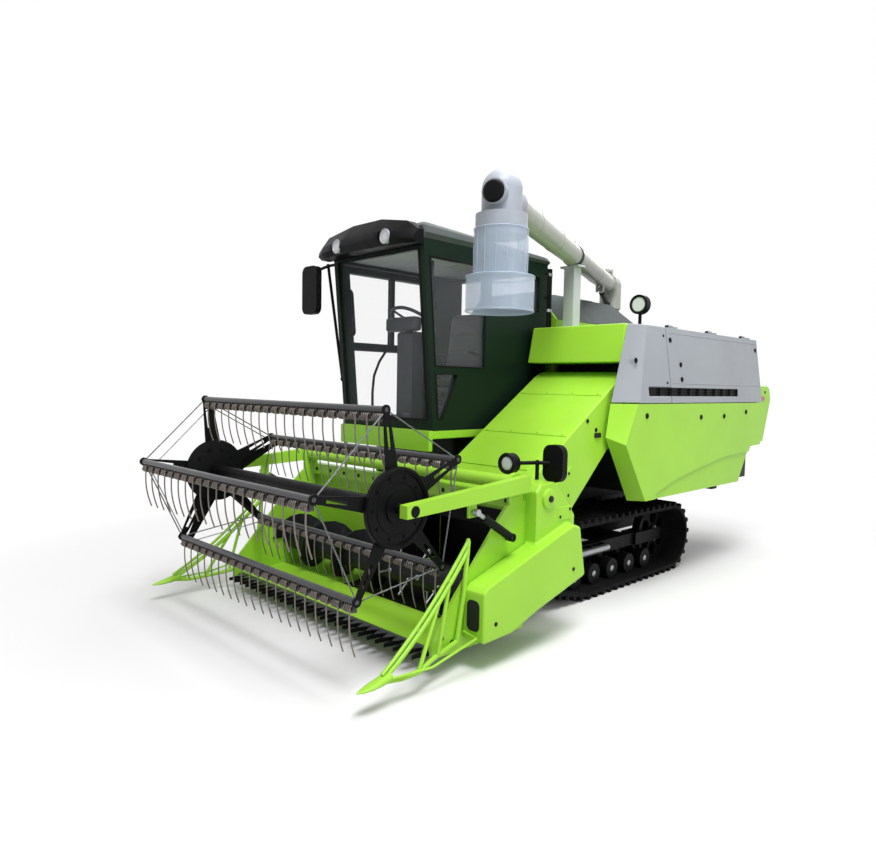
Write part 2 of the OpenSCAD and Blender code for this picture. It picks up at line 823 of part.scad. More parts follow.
// Thresher and left panels
module thresher_body() color(charcoal) place() {
    slab(front_wall_st, thresher_rear_st, thresher_y0, thresher_y1, deck_z, thresher_top_z);
    for (y = [thresher_y0, thresher_y1 - cheek_t])
        slab(feeder_st - cheek_front, front_wall_st + cut, y, y + cheek_t,
            feeder_z - cheek_h / 2, feeder_z + cheek_h / 2);
    cross_rod(feeder_st, feeder_z, feeder_pin_r, thresher_y0, thresher_y1);
    for (share = side_hinge_shares) let (s = side_hinge_st(share),
        half = hinge_len / 2 + hinge_clear + hinge_end) {
        translate([-s - half, side_hinge_y, side_hinge_z]) rotate([0, 90, 0]) cylinder(r = hinge_pin_r,
            h = half * 2);
        for (side = [-1, 1]) let (m = s + side * (half - hinge_end / 2))
            slab(m - hinge_end / 2, m + hinge_end / 2, side_hinge_y - hinge_r, side_hinge_y + hinge_r / 2,
                thresher_top_z - cut, side_hinge_z + hinge_r / 2);
    }
}

module left_lower_panel() color(lime) place() difference() {
    skin([at_y(spread(lower_inner_shares, lower_front_st, lower_len, lower_z0, lower_h), thresher_y1),
        at_y(spread(lower_outer_shares, lower_front_st, lower_len, lower_z0, lower_h), panel_y)]);
    profile(spread(crease_shares, lower_front_st, lower_len, lower_z0, lower_h),
        panel_y - crease_depth, panel_y + cut);
}

function upper_outline(s0, lean, s1) = [[s0, upper_z0], [s0 + lean, panel_top_z], [s1, panel_top_z],
    [s1, upper_z0]];
function upper_outer(s0, lean, s1) = let (p = upper_outline(s0, lean, s1))
    [for (q = p) [-q[0], q[1] == upper_z0 ? panel_y : panel_top_y, q[1]]];

module left_upper_panel() color(panel_gray) place() difference() {
    skin([at_y(upper_outline(upper_front_st, upper_lean, door_split_st - panel_gap / 2), thresher_y1),
        upper_outer(upper_front_st + upper_chamfer, upper_lean, door_split_st - panel_gap / 2)]);
    vent_pocket(vent_front_st, door_split_st);
}

module vent_pocket(s0, s1)
    slab(s0, s1, panel_y - vent_depth, panel_y + cut, seam_z + vent_lift, seam_z + vent_lift + vent_h);

function side_hinge_st(share) = door_split_st + share * (thresher_rear_st - door_split_st);
function cab_hinge_z(share) = cab_floor_z + share * cab_h;

module side_door() color(panel_gray) place() difference() {
    union() {
        side_door_skin();
        for (share = side_hinge_shares) let (s = side_hinge_st(share)) {
            translate([-s - hinge_len / 2, side_hinge_y, side_hinge_z]) rotate([0, 90, 0])
                cylinder(r = hinge_r, h = hinge_len);
            slab(s - hinge_len / 2, s + hinge_len / 2, side_hinge_y, panel_top_y - gap,
                panel_top_z - leaf_t,
                side_hinge_z - hinge_r / 2);
        }
    }
    translate([-thresher_rear_st, side_hinge_y, side_hinge_z]) rotate([0, 90, 0])
        cylinder(r = hinge_pin_r + fit, h = thresher_rear_st - door_split_st);
    vent_pocket(door_split_st, vent_rear_st);
}

module side_door_skin() skin(
    [at_y(upper_outline(door_split_st + panel_gap / 2, 0, thresher_rear_st - panel_gap),
        thresher_y1 + panel_gap),
        upper_outer(door_split_st + panel_gap / 2, 0, thresher_rear_st - panel_gap)]);

module front_cover() color(lime) place() profile(
    [[cover_front_st, cover_z0], [cover_front_st + cover_lean, panel_top_z],
        [front_wall_st, panel_top_z], [front_wall_st, cover_z0]], cover_y0, thresher_y1);

module rear_hood() color(lime) place() difference() {
    profile(spread(hood_shares, thresher_rear_st, hood_len, hood_z0, hood_h), thresher_y0, hood_y1);
    translate([0, 0, -hood_wall]) profile(spread(hood_shares, thresher_rear_st - hood_wall, hood_len,
        hood_z0, hood_h),
        thresher_y0 + hood_wall, hood_y1 - hood_wall);
}

// Grain tank and its roof
module tank_section(len_s, points) translate([-tank_rear_st, 0, 0]) rotate([90, 0, 90])
    linear_extrude(len_s) polygon(points);

module grain_tank() color(lime_dark) place() {
    tank_section(tank_rear_st - tank_front_st,
        [for (p = tank_shares) [tank_y1 - p[0] * tank_w, deck_z + p[1] * tank_h]]);
    translate([tank_rear_st - tank_front_st - gable_t, 0, 0]) tank_section(gable_t - gable_in,
        [[tank_y1 - gable_in, tank_top_z - gable_t], [tank_y1 - gable_in, tank_top_z],
            [tank_y1 - roof_in, tank_top_z + roof_rise], [-tank_side + roof_in, tank_top_z + roof_rise],
            [-tank_side + gable_in, tank_top_z], [-tank_side + gable_in, tank_top_z - gable_t]]);
    for (share = leg_shares) let (s = tank_front_st + share * (tank_rear_st - tank_front_st))
        slab(s, s + leg_len, -rail_y - rail_w / 2, -rail_y + rail_w / 2, deck_z,
            deck_z + tank_h * leg_h_share);
}

module tank_roof() color(olive) place() skin([
    [[-tank_front_st - gable_t, tank_y1, tank_top_z], [-tank_front_st - gable_t, -tank_side, tank_top_z],
        [-tank_rear_st, -tank_side, tank_top_z], [-tank_rear_st, tank_y1, tank_top_z]],
    [[-tank_front_st - gable_t, tank_y1 - roof_in, tank_top_z + roof_rise],
        [-tank_front_st - gable_t, -tank_side + roof_in, tank_top_z + roof_rise],
        [-tank_rear_st + roof_in, -tank_side + roof_in, tank_top_z + roof_rise],
        [-tank_rear_st + roof_in, tank_y1 - roof_in, tank_top_z + roof_rise]]]);

// Engine bay
module engine() color(charcoal) place() {
    slab(engine_st, engine_st + engine_len, engine_y0, engine_y0 + engine_w, deck_z, cab_floor_z - floor_t);
}

module engine_cover() color(charcoal) place() difference() {
    slab(screen_st0, cab_rear_st, -cab_side, -cab_side + screen_t, deck_z - screen_drop,
        cab_floor_z - floor_t);
    for (k = [0 : slat_n - 1])
        let (p = (cab_floor_z - floor_t - deck_z + screen_drop - screen_frame * 2) / slat_n,
            z = deck_z - screen_drop + screen_frame + k * p)
        slab(screen_st0 + screen_frame, cab_rear_st - screen_frame, -cab_side - cut,
            -cab_side + screen_t * slat_share, z, z + p * slat_share);
}

module exhaust_stack() color(black) place() {
    bar([stack_st, 0, stack_z0], [stack_st, 0, cab_top_z - stack_r], stack_r);
    slab(stack_st, tank_front_st, -stack_r / 2, stack_r / 2, stack_z0 + stack_r, stack_z0 + stack_r * 2);
}

// Cab
module cab_floor() color(lime) place() {
    slab(front_at(cab_floor_z), cab_rear_st, -cab_side, cab_left_y, cab_floor_z - floor_t, cab_floor_z);
    slab(cab_front_st - apron_t, cab_front_st, -cab_side, cab_left_y, cab_floor_z - apron_drop,
        cab_floor_z);
    for (k = [1 : step_n]) {
        slab(cab_front_st, cab_front_st + step_w, -cab_side, -cab_side + step_d,
            cab_floor_z - floor_t - k * step_drop - step_t, cab_floor_z - floor_t - k * step_drop);
    }
    for (s = [cab_front_st, cab_front_st + step_w - step_rail])
        slab(s, s + step_rail, -cab_side, -cab_side + step_rail,
            cab_floor_z - floor_t - step_n * step_drop - step_t, cab_floor_z - floor_t + cut);
}

function window_outline(z0, z1, front_in, s1) = [[front_at(z0) + front_in, z0],
    [front_at(z1) + front_in, z1],
    [s1, z1], [s1, z0]];

// Panes of the left wall and of the door, shrunk by e at each edge
function left_panes(e) = let (rail = left_rail_h / 2, post = left_post_w / 2, z0 = cab_floor_z + sill) [
    window_outline(left_rail_z + rail + e, left_top_z - e, pillar + e, left_post_st - post - e),
    [[front_at(z0) + pillar + e, z0 + e], [front_at(left_rail_z - rail) + pillar + e,
        left_rail_z - rail - e],
        [brace_top_st - e * 2, left_rail_z - rail - e], [brace_low_st - e * 2, z0 + e]],
    [[left_post_st + post + e, rear_pane_z + e], [left_post_st + post + e, left_top_z - e],
        [cab_rear_st - pillar * 2 - e, left_top_z - e], [cab_rear_st - pillar * 2 - e, rear_pane_z + e]]];
module door_panes(e, y0, y1) {
    front_in = door_front + door_gap + pillar + e;
    s1 = door_s1 - door_gap - pillar - e;
    bar_st = door_s0 + door_len * door_bar_share;
    profile(window_outline(cab_floor_z + door_gap + pillar + e, door_rail_z - door_rail_h / 2 - e,
        front_in, s1), y0, y1);
    profile(window_outline(door_rail_z + door_rail_h / 2 + e, door_z1 - door_gap - pillar - e, front_in,
        bar_st - door_bar_w / 2 - e), y0, y1);
    slab(bar_st + door_bar_w / 2 + e, s1, y0, y1, door_rail_z + door_rail_h / 2 + e,
        door_z1 - door_gap - pillar - e);
}

module cab_hinges() for (share = cab_hinge_shares)
    let (z = cab_hinge_z(share), half = hinge_len / 2 + hinge_clear + hinge_end) {
        translate([-cab_hinge_st, cab_hinge_y, z - half]) cylinder(r = hinge_pin_r, h = half * 2);
        for (side = [-1, 1]) let (m = z + side * (half - hinge_end / 2))
            slab(cab_hinge_st - hinge_r / 2, cab_hinge_st + hinge_r * 2, cab_hinge_y - hinge_r / 2,
                -cab_side,
                m - hinge_end / 2, m + hinge_end / 2);
    }

module cab_frame() color(charcoal) place() {
    cab_hinges();
    cab_shell();
}

module cab_shell() difference() {
    profile(cab_outline, -cab_side, cab_left_y);
    profile(window_outline(cab_floor_z - cut, cab_top_z + cut, pillar, cab_rear_st - pillar),
        -cab_side + pillar, cab_left_y - pillar);
    slab(front_at(cab_top_z) - cut, cab_front_st + pillar + cut, -cab_side + pillar, cab_left_y - pillar,
        cab_floor_z + sill, cab_top_z - header_rail);
    for (pane = left_panes(0)) profile(pane, cab_left_y - pillar - cut, cab_left_y + cut);
    slab(cab_rear_st - pillar - cut, cab_rear_st + cut, -cab_side + pillar, cab_left_y - pillar,
        cab_floor_z + rear_sill, cab_top_z - header_rail);
    slab(door_s0, door_s1, -cab_side - cut, -cab_side + pillar + cut, cab_floor_z - cut, door_z1);
    profile(window_outline(cab_floor_z, door_z1, door_front, door_s0 + cut), -cab_side - cut,
        -cab_side + pillar + cut);
}

module cab_glass() color(glass_blue) place() {
    profile([[front_at(cab_floor_z + sill) + pillar / 2, cab_floor_z + sill + fit],
        [front_at(cab_top_z - header_rail) + pillar / 2, cab_top_z - header_rail - fit],
        [front_at(cab_top_z - header_rail) + pillar / 2 + glass_t, cab_top_z - header_rail - fit],
        [front_at(cab_floor_z + sill) + pillar / 2 + glass_t, cab_floor_z + sill + fit]],
        -cab_side + pillar + fit, cab_left_y - pillar - fit);
    for (pane = left_panes(fit)) profile(pane, cab_left_y - pillar / 2 - glass_t, cab_left_y - pillar / 2);
    slab(cab_rear_st - pillar / 2 - glass_t, cab_rear_st - pillar / 2, -cab_side + pillar + fit,
        cab_left_y - pillar - fit, cab_floor_z + rear_sill + fit, cab_top_z - header_rail - fit);
}

module door_frame() color(charcoal) place() {
    difference() {
        union() {
            profile(window_outline(cab_floor_z + door_gap, door_z1 - door_gap, door_front + door_gap,
                door_s1 - door_gap), -cab_side, -cab_side + door_t);
            for (share = cab_hinge_shares) let (z = cab_hinge_z(share)) {
                translate([-cab_hinge_st, cab_hinge_y, z - hinge_len / 2]) cylinder(r = hinge_r,
                    h = hinge_len);
                slab(door_s1 - door_gap - pillar, cab_hinge_st, cab_hinge_y - hinge_r / 2, -cab_side,
                    z - hinge_len / 2, z + hinge_len / 2);
            }
        }
        translate([-cab_hinge_st, cab_hinge_y, cab_floor_z]) cylinder(r = hinge_pin_r + fit, h = cab_h);
        door_panes(0, -cab_side - cut, -cab_side + door_t + cut);
    }
}

module door_glass() color(glass_blue) place()
    door_panes(fit, -cab_side + door_t / 2 - glass_t / 2, -cab_side + door_t / 2 + glass_t / 2);

module cab_roof() color(roof_gray) place() skin([for (ring = roof_rings) roof_ring(ring[0], ring[1])]);

module at_lamps() for (share = lamp_shares)
    translate([-visor_s0 - lamp_in, -cab_side * share, cab_top_z - visor_drop + visor_h * lamp_share])
        rotate([0, -90, 0]) children();

module cab_visor() color(black) place() difference() {
    skin([for (ring = visor_ring_shares) [for (p = visor_shares)
        [-roof_s0 + (1 - p[0]) * ring[1] * visor_len, cab_left_y - ring[0] * visor_w,
            cab_top_z - visor_drop + p[1] * ring[1] * visor_h]]]);
    at_lamps() {
        cylinder(r = lamp_r + fit, h = lamp_d);
        translate([0, 0, -lamp_in - cut]) cylinder(r = lamp_r + lamp_rim, h = lamp_in + cut);
    }
}

module work_lamps() color(lamp_white) place() {
    at_lamps() cylinder(r = lamp_r, h = lamp_d);
    translate([-stalk_lamp_st, stalk_lamp_y, thresher_top_z]) cylinder(r = stay_r,
        h = stalk_lamp_z - thresher_top_z);
    translate([-stalk_lamp_st - stalk_lamp_d / 2, stalk_lamp_y, stalk_lamp_z]) rotate([0, 90, 0])
        cylinder(r = stalk_lamp_r, h = stalk_lamp_d);
}

module seat() color(black) place() {
    slab(seat_st, seat_st + seat_d, -cab_w / 2 - seat_w / 2, -cab_w / 2 + seat_w / 2, cab_floor_z,
        cab_floor_z + seat_base_h + seat_h);
    slab(seat_st + seat_d - seat_back_t, seat_st + seat_d, -cab_w / 2 - seat_w / 2, -cab_w / 2 + seat_w / 2,
        cab_floor_z, cab_floor_z + seat_base_h + seat_h + seat_back_h);
}

module console() color(charcoal) place() {
    slab(column_st, column_st + column_d, -cab_w / 2 - column_w / 2, -cab_w / 2 + column_w / 2,
        cab_floor_z, cab_floor_z + column_h);
}

// Mirror housing with round corners, seen from ahead
module mirror_shell(s, y, z, w, h) translate([-s - mirror_t, y, z]) rotate([90, 0, 90])
    linear_extrude(mirror_t) polygon([for (k = [0 : 3], a = [0 : mirror_step : right_angle])
        [(w / 2 - mirror_round) * (k == 0 || k == 3 ? 1 : -1) + mirror_round * cos(k * right_angle + a),
            (h / 2 - mirror_round) * (k < 2 ? 1 : -1) + mirror_round * sin(k * right_angle + a)]]);

module mirror_right() color(black) place() {
    high = [front_at(grab_z1) + pillar / 2, -cab_side - grab_out, grab_z1];
    low = [front_at(grab_z0) + pillar / 2, -cab_side - grab_low_out, grab_z0];
    shell = [high[0] - mirror_ahead, -half_w, grab_z1 - mirror_drop - mirror_h];
    mirror_shell(shell[0], shell[1] + mirror_w / 2, shell[2] + mirror_h / 2, mirror_w, mirror_h);
    cross_rod(high[0], high[2], stay_r, high[1], -cab_side);
    cross_rod(low[0], low[2], stay_r, low[1], -cab_side);
    knot(high, knot_r);
    knot(low, knot_r);
    bar(high, low, stay_r);
    bar(high, shell + [mirror_t / 2, mirror_w / 2, mirror_h - mirror_t], stay_r);
}

// Header
module feeder_house() color(lime) place() difference() {
    union() {
        cross_rod(feeder_st, feeder_z, feeder_r, feeder_y0, feeder_y1);
        profile([[tangent_st, tangent_z],
            [header_back_st, tangent_z - (tangent_st - header_back_st) * tan(feeder_slope)],
            [header_back_st, feeder_mouth_z], [belly_st, belly_z], [knee_st, knee_z],
            [feeder_st + feeder_r * cos(heel_angle), feeder_z - feeder_r * sin(heel_angle)]],
                feeder_y0, feeder_y1);
        for (side = [-1, 1]) let (y = lift_y + side * (lift_rod_r + eye_more + gap + ear_t / 2))
            slab(lift_tip_st - ear_r, lift_tip_st + ear_r, y - ear_t / 2, y + ear_t / 2,
                lift_tip_z - ear_r, belly_z);
    }
    cross_rod(feeder_st, feeder_z, feeder_pin_r + fit, feeder_y0 - cut, feeder_y1 + cut);
    slab(header_back_st - cut, header_back_st + mouth_depth, feeder_y0 + mouth_in, feeder_y1 - mouth_in,
        mouth_z0 + mouth_in, mouth_z0 + mouth_h);
}

module header_trough() color(lime) place() difference() {
    union() {
        slab(header_back_st - wall_t, header_back_st, -cut_half, cut_half, header_z0, header_wall_z);
        slab(header_back_st - beam_size, header_back_st, -cut_half, cut_half, header_wall_z,
            header_wall_z + beam_size);
        profile(concat([[lip_st, header_z0], [header_back_st - wall_t / 2, header_z0],
            [header_back_st - wall_t / 2, auger_z]],
            [for (a = [0 : trough_step : trough_end]) [auger_st + trough_r * cos(a),
                auger_z - trough_r * sin(a)]],
            [[lip_st, lip_z]]), -cut_half, cut_half);
    }
    slab(header_back_st - wall_t - cut, header_back_st + cut, feeder_y0 + mouth_in, feeder_y1 - mouth_in,
        mouth_z0 + mouth_in, mouth_z0 + mouth_h);
}

module header_side() difference() {
    union() {
        profile(spread(side_shares, side_front_st, side_len, header_z0, side_h), cut_half,
            cut_half + side_t);
        cross_rod(reel_pivot_st, reel_pivot_z, ear_plate_r, cut_half, cut_half + side_t);
        slab(reel_pivot_st - ear_plate_r, reel_pivot_st + ear_plate_r, cut_half, cut_half + side_t,
            header_z0 + side_h / 2, reel_pivot_z);
        cross_rod(reel_lift_base_st, reel_lift_base_z, reel_lift_pin_r, cut_half, arm_y0 + arm_w);
    }
    cross_rod(reel_pivot_st, reel_pivot_z, reel_stub_r + fit, cut_half - cut, cut_half + side_t + cut);
    cross_rod(auger_st, auger_z, shaft_r + fit, cut_half - cut, cut_half + side_t + cut);
}

module header_sides() color(lime) place() both_sides() header_side();

module header_drive() color(lime) place() {
    profile(spread(drive_shares, drive_front_st, drive_len, drive_z0, drive_h), cut_half + side_t, half_w);
    profile(spread(house_shares, header_back_st, house_len, house_z0, house_h), feeder_y1, house_y1);
}

module cutter_bar() color(steel) place() {
    slab(lip_st - bar_depth, lip_st, -cut_half, cut_half, header_z0, lip_z);
    for (k = [0 : floor(2 * cut_half / guard_pitch) - 1])
        translate([0, (k + 1 / 2) * guard_pitch - floor(2 * cut_half / guard_pitch) * guard_pitch / 2,
            header_z0])
            linear_extrude(lip_z - header_z0)
            polygon(flip([[lip_st - bar_depth / 2, -guard_pitch / 3], [lip_st - bar_depth / 2,
                guard_pitch / 3],
                [lip_st - bar_depth - guard_len, 0]]));
}

module divider() {
    y = cut_half + side_t + knot_r + fit;
    nose = [tip_len, tip_y, tip_z + tip_r / 2];
    top = [divider_len, y, tip_z + divider_rise];
    peak = top + [0, 0, inner_rise];
    skid = [divider_skid, tip_y, tip_z];
    foot = [side_front_st + divider_foot, y, tip_z + divider_foot_rise];
    mid = nose + (top - nose) * strut_share;
    bar([0, tip_y, tip_z], nose, tip_r);
    knot(nose, tip_r + knot_r - rod_r);
    for (p = [top, peak, skid, foot, mid]) knot(p, knot_r);
    bar(nose, top, rod_r);
    bar(nose + [0, 0, inner_rise / 2], peak, inner_rod_r);
    bar(nose, skid, rod_r);
    bar(skid, foot, rod_r);
    bar(skid, mid, stay_r);
    bar(foot, peak, rod_r);
}

module dividers() color(lime) place() both_sides() divider();

module flight(y0, y1, hand) {
    turns = (y1 - y0) / flight_pitch;
    n = ceil(flight_steps * turns);
    inner_r = (auger_tube_r + fit) / cos(180 / flight_steps);
    h = hand * flight_t / 2;
    section = [[inner_r, -h], [flight_r, -h], [flight_r, h], [inner_r, h]];
    m = len(section);
    points = [for (k = [0 : n], q = section) let (a = hand * 360 * turns * k / n)
        [q[0] * cos(a), y0 + (y1 - y0) * k / n + q[1], q[0] * sin(a)]];
    sides = [for (k = [0 : n - 1], j = [0 : m - 1], half = [0, 1]) let (a = m * k, i = (j + 1) % m)
        half == 0 ? [a + j, a + m + i, a + i] : [a + j, a + m + j, a + m + i]];
    ends = [[for (j = [0 : m - 1]) j], [for (j = [m - 1 : -1 : 0]) m * n + j]];
    polyhedron(points, concat(sides, ends));
}

module header_auger() color(steel) place() {
    cross_rod(auger_st, auger_z, auger_tube_r, -cut_half + gap, cut_half - gap);
    cross_rod(auger_st, auger_z, shaft_r, -cut_half - side_t, cut_half + side_t);
    translate([-auger_st, 0, auger_z]) {
        flight(-cut_half + gap * 2, feeder_y0 + mouth_in, 1);
        flight(feeder_y1 - mouth_in, cut_half - gap * 2, -1);
    }
}

module header_mirror() color(black) place() {
    post = [post_st, post_y, post_z];
    bar([post_st, post_y, house_z0 + house_h], post, stay_r);
    knot(post, knot_r);
    bar(post, [head_lamp_st, head_lamp_y, post_z], stay_r);
    bar(post, [side_mirror_st, side_mirror_y, post_z], stay_r);
    translate([-head_lamp_st - head_lamp_d / 2, head_lamp_y, post_z]) rotate([0, 90, 0])
        cylinder(r = head_lamp_r, h = head_lamp_d);
    mirror_shell(side_mirror_st - mirror_t / 2, side_mirror_y, post_z, side_mirror_w, side_mirror_h);
}

// Reel
module reel_arm() difference() {
    union() {
        profile([[reel_pivot_st + arm_over, reel_pivot_z - arm_h / 2], [reel_pivot_st + arm_over,
            reel_pivot_z + arm_h / 2],
            [reel_st - arm_over, reel_z + arm_tip_h / 2], [reel_st - arm_over, reel_z - arm_tip_h / 2]],
            arm_y0, arm_y0 + arm_w);
        slab(reel_lift_tip_st - ear_r, reel_lift_tip_st + ear_r, arm_y0, arm_y0 + ear_t,
            reel_lift_tip_z - ear_r, reel_z);
    }
    cross_rod(reel_st, reel_z, reel_stub_r + fit, arm_y0 - cut, arm_y0 + arm_w + cut);
}

module reel_frame() color(lime) place() {
    cross_rod(reel_pivot_st, reel_pivot_z, tube_r, -cut_half + gap, cut_half - gap);
    cross_rod(reel_pivot_st, reel_pivot_z, reel_stub_r, -arm_y0 - cut, arm_y0 + cut);
    both_sides() reel_arm();
    difference() {
        union() {
            cross_rod(reel_st + control_back, reel_z - control_drop, ring_r - fit,
                -ring_y - layer_t - gap, -ring_y);
            cross_rod(reel_st, reel_z, reel_shaft_r + cut, -arm_y0 - cut, -ring_y - layer_t);
        }
        cross_rod(reel_st, reel_z, reel_stub_r + fit, -arm_y0 - cut * 2, -ring_y + cut);
    }
}

module on_arm(i) translate([-reel_st, 0, reel_z]) rotate([0, bat_angle(i) - 180, 0]) children();

module arm_plate(i, y, t, tip_half) on_arm(i) translate([0, y + t, 0]) rotate([90, 0, 0]) linear_extrude(t)
    polygon([[hub_r / 2, -arm_root], [reel_r, -tip_half], [reel_r, tip_half], [hub_r / 2, arm_root]]);

module arm_slot(i, y) on_arm(i) translate([reel_r * slot_share, y - cut, -slot_w / 2])
    cube([reel_r * slot_len_share, layer_t + cut * 2, slot_w]);

module spider(y) {
    cross_rod(reel_st, reel_z, hub_r, y, y + layer_t);
    for (i = [0 : bat_n - 1]) difference() {
        union() {
            arm_plate(i, y + arm_in, layer_t - arm_in * 2, arm_half);
            cross_rod(bat_st(i), bat_z(i), eye_r, y, y + layer_t);
        }
        cross_rod(bat_st(i), bat_z(i), pin_r + fit, y - cut, y + layer_t + cut);
        arm_slot(i, y);
    }
    for (i = [0 : bat_n - 1]) {
        a = [bat_st(i), y + layer_t / 2, bat_z(i)];
        b = [bat_st(i + 1), y + layer_t / 2, bat_z(i + 1)];
        inset = (b - a) * link_in / norm(b - a);
        bar(a + inset, b - inset, link_r);
    }
}

module reel() color(charcoal) place() {
    cross_rod(reel_st, reel_z, reel_shaft_r, -spider_y - layer_t / 2, spider_y + layer_t / 2);
    cross_rod(reel_st, reel_z, reel_stub_r, -arm_y0 - arm_w, arm_y0 + arm_w);
    spider(spider_y);
    spider(-spider_y - layer_t);
    difference() {
        cross_rod(reel_st, reel_z, disc_r, crank_y, crank_y + disc_t);
        difference() {
            cross_rod(reel_st, reel_z, disc_r - disc_rim, crank_y + disc_t - disc_in,
                crank_y + disc_t + cut);
            cross_rod(reel_st, reel_z, reel_shaft_r * 2, crank_y, crank_y + disc_t + cut * 2);
        }
    }
}

module reel_control() color(charcoal) place() translate([-control_back, 0, -control_drop]) difference() {
    union() {
        cross_rod(reel_st, reel_z, ring_r + ring_w, -ring_y - layer_t, -ring_y);
        for (i = [0 : bat_n - 1]) {
            arm_plate(i, -ring_y - layer_t + arm_in, layer_t - arm_in * 2, pin_r * 1.5);
            cross_rod(bat_st(i), bat_z(i), pin_r * 2, -ring_y - layer_t, -ring_y);
        }
    }
    cross_rod(reel_st, reel_z, ring_r, -ring_y - layer_t - cut, -ring_y + cut);
    for (i = [0 : bat_n - 1])
        cross_rod(bat_st(i), bat_z(i), pin_r + fit, -ring_y - layer_t - cut, -ring_y + cut);
}

module bat(i) color(charcoal) place() translate([-bat_st(i), 0, bat_z(i)]) {
    cross_rod(0, 0, bat_r, -bat_half, bat_half);
    cross_rod(0, 0, pin_r, -crank_y - layer_t, spider_y + layer_t);
    slab(-band_t / 2, band_t / 2, -bat_half, bat_half, -bat_r - band_h, 0);
    bar_len = norm([control_back, control_drop]);
    translate([0, -crank_y, 0]) rotate([0, 180 - atan2(control_drop, control_back), 0])
        translate([0, -layer_t, -pin_r * 1.5]) cube([bar_len, layer_t, pin_r * 3]);
    cross_rod(control_back, -control_drop, pin_r, -ring_y - layer_t, -crank_y);
    for (k = [0 : tine_n - 1]) let (y = bat_half * (2 * (k + 1 / 2) / tine_n - 1)) translate([0, y,
        -bat_r]) {
        translate([0, 0, -tine_len]) cylinder(d = tine_d, h = tine_len, $fn = 6);
        translate([0, 0, -tine_len]) rotate([0, 180 + tine_bend, 0]) cylinder(d = tine_d, h = tine_tip,
            $fn = 6);
    }
}

module bat_1() bat(0);

module bat_2() bat(1);

module bat_3() bat(2);

module bat_4() bat(3);

module bat_5() bat(4);

// Cylinders: each is drawn from its base pin a to its tip pin b
module barrel(a, b, r, rod_r, pin, share) difference() {
    union() {
        bar(a, a + (b - a) * share, r);
        cross_rod(a[0], a[2], r, a[1] - r, a[1] + r);
    }
    bar(a + (b - a) * bore_share, b, rod_r + fit);
    cross_rod(a[0], a[2], pin + fit, a[1] - r - cut, a[1] + r + cut);
}

module rod(a, b, rod_r, share) {
    bar(a + (b - a) * share, b, rod_r);
    cross_rod(b[0], b[2], rod_r + gap, b[1] - rod_r - eye_more, b[1] + rod_r + eye_more);
}

module header_barrel() color(black) place() barrel(lift_a, lift_b, lift_r, lift_rod_r, lift_pin_r,
    barrel_share);

module header_rod() color(steel) place() rod(lift_a, lift_b, lift_rod_r, rod_share);

module reel_barrels() color(black) place() both_sides()
    barrel(reel_a, reel_b, reel_lift_r, reel_lift_rod_r, reel_lift_pin_r, barrel_share);

module reel_rods() color(steel) place() both_sides() rod(reel_a, reel_b, reel_lift_rod_r, rod_share);

// Unloading auger, drawn along its own axis and turned to its stowed angle
module on_riser() translate([-riser_st, -riser_side, 0]) rotate([0, 0, boom_angle]) children();

module auger_riser() color(olive) place() {
    translate([-riser_st, -riser_side, deck_z]) cylinder(r = riser_r, h = elbow_z - gap - deck_z);
    for (share = clamp_shares) let (z = deck_z + tank_h * share)
        slab(tank_rear_st, riser_st, -riser_side - riser_r / 2, -riser_side + riser_r / 2, z,
            z + riser_r / 2);
}

module auger_elbow() color(lime) place() on_riser() {
    translate([0, 0, elbow_z]) cylinder(r = elbow_r, h = boom_z - elbow_z);
    translate([0, 0, boom_z]) sphere(r = elbow_r);
    translate([0, 0, boom_z]) rotate([0, 90, 0]) cylinder(r = boom_r, h = elbow_len);
    translate([elbow_len - flange_t, 0, boom_z]) rotate([0, 90, 0]) cylinder(r = flange_r, h = flange_t);
    for (side = [-1, 1]) let (y = side * (boom_lug_t / 2 + gap + boom_ear_t / 2) - boom_ear_t / 2) {
        translate([elbow_len - boom_eye_r * 3, y, boom_z]) cube([boom_eye_r * 3, boom_ear_t,
            hinge_up + boom_eye_r]);
        translate([elbow_len, y, boom_z + hinge_up]) rotate([-90, 0, 0]) cylinder(r = boom_eye_r,
            h = boom_ear_t);
    }
    translate([elbow_len, -boom_lug_t / 2 - gap - cut, boom_z + hinge_up]) rotate([-90, 0, 0])
        cylinder(r = boom_hinge_r, h = boom_lug_t + gap * 2 + cut * 2);
    for (side = [-1, 1]) let (y = side * (auger_lift_r + gap + boom_ear_t / 2) - boom_ear_t / 2)
        translate([0, y, auger_lift_base_z - auger_lift_r]) cube([auger_lift_base + auger_lift_r,
            boom_ear_t, auger_lift_r * 2]);
    translate([auger_lift_base, -auger_lift_r - gap - cut, auger_lift_base_z]) rotate([-90, 0, 0])
        cylinder(r = auger_lift_pin_r, h = auger_lift_r * 2 + gap * 2 + cut * 2);
}

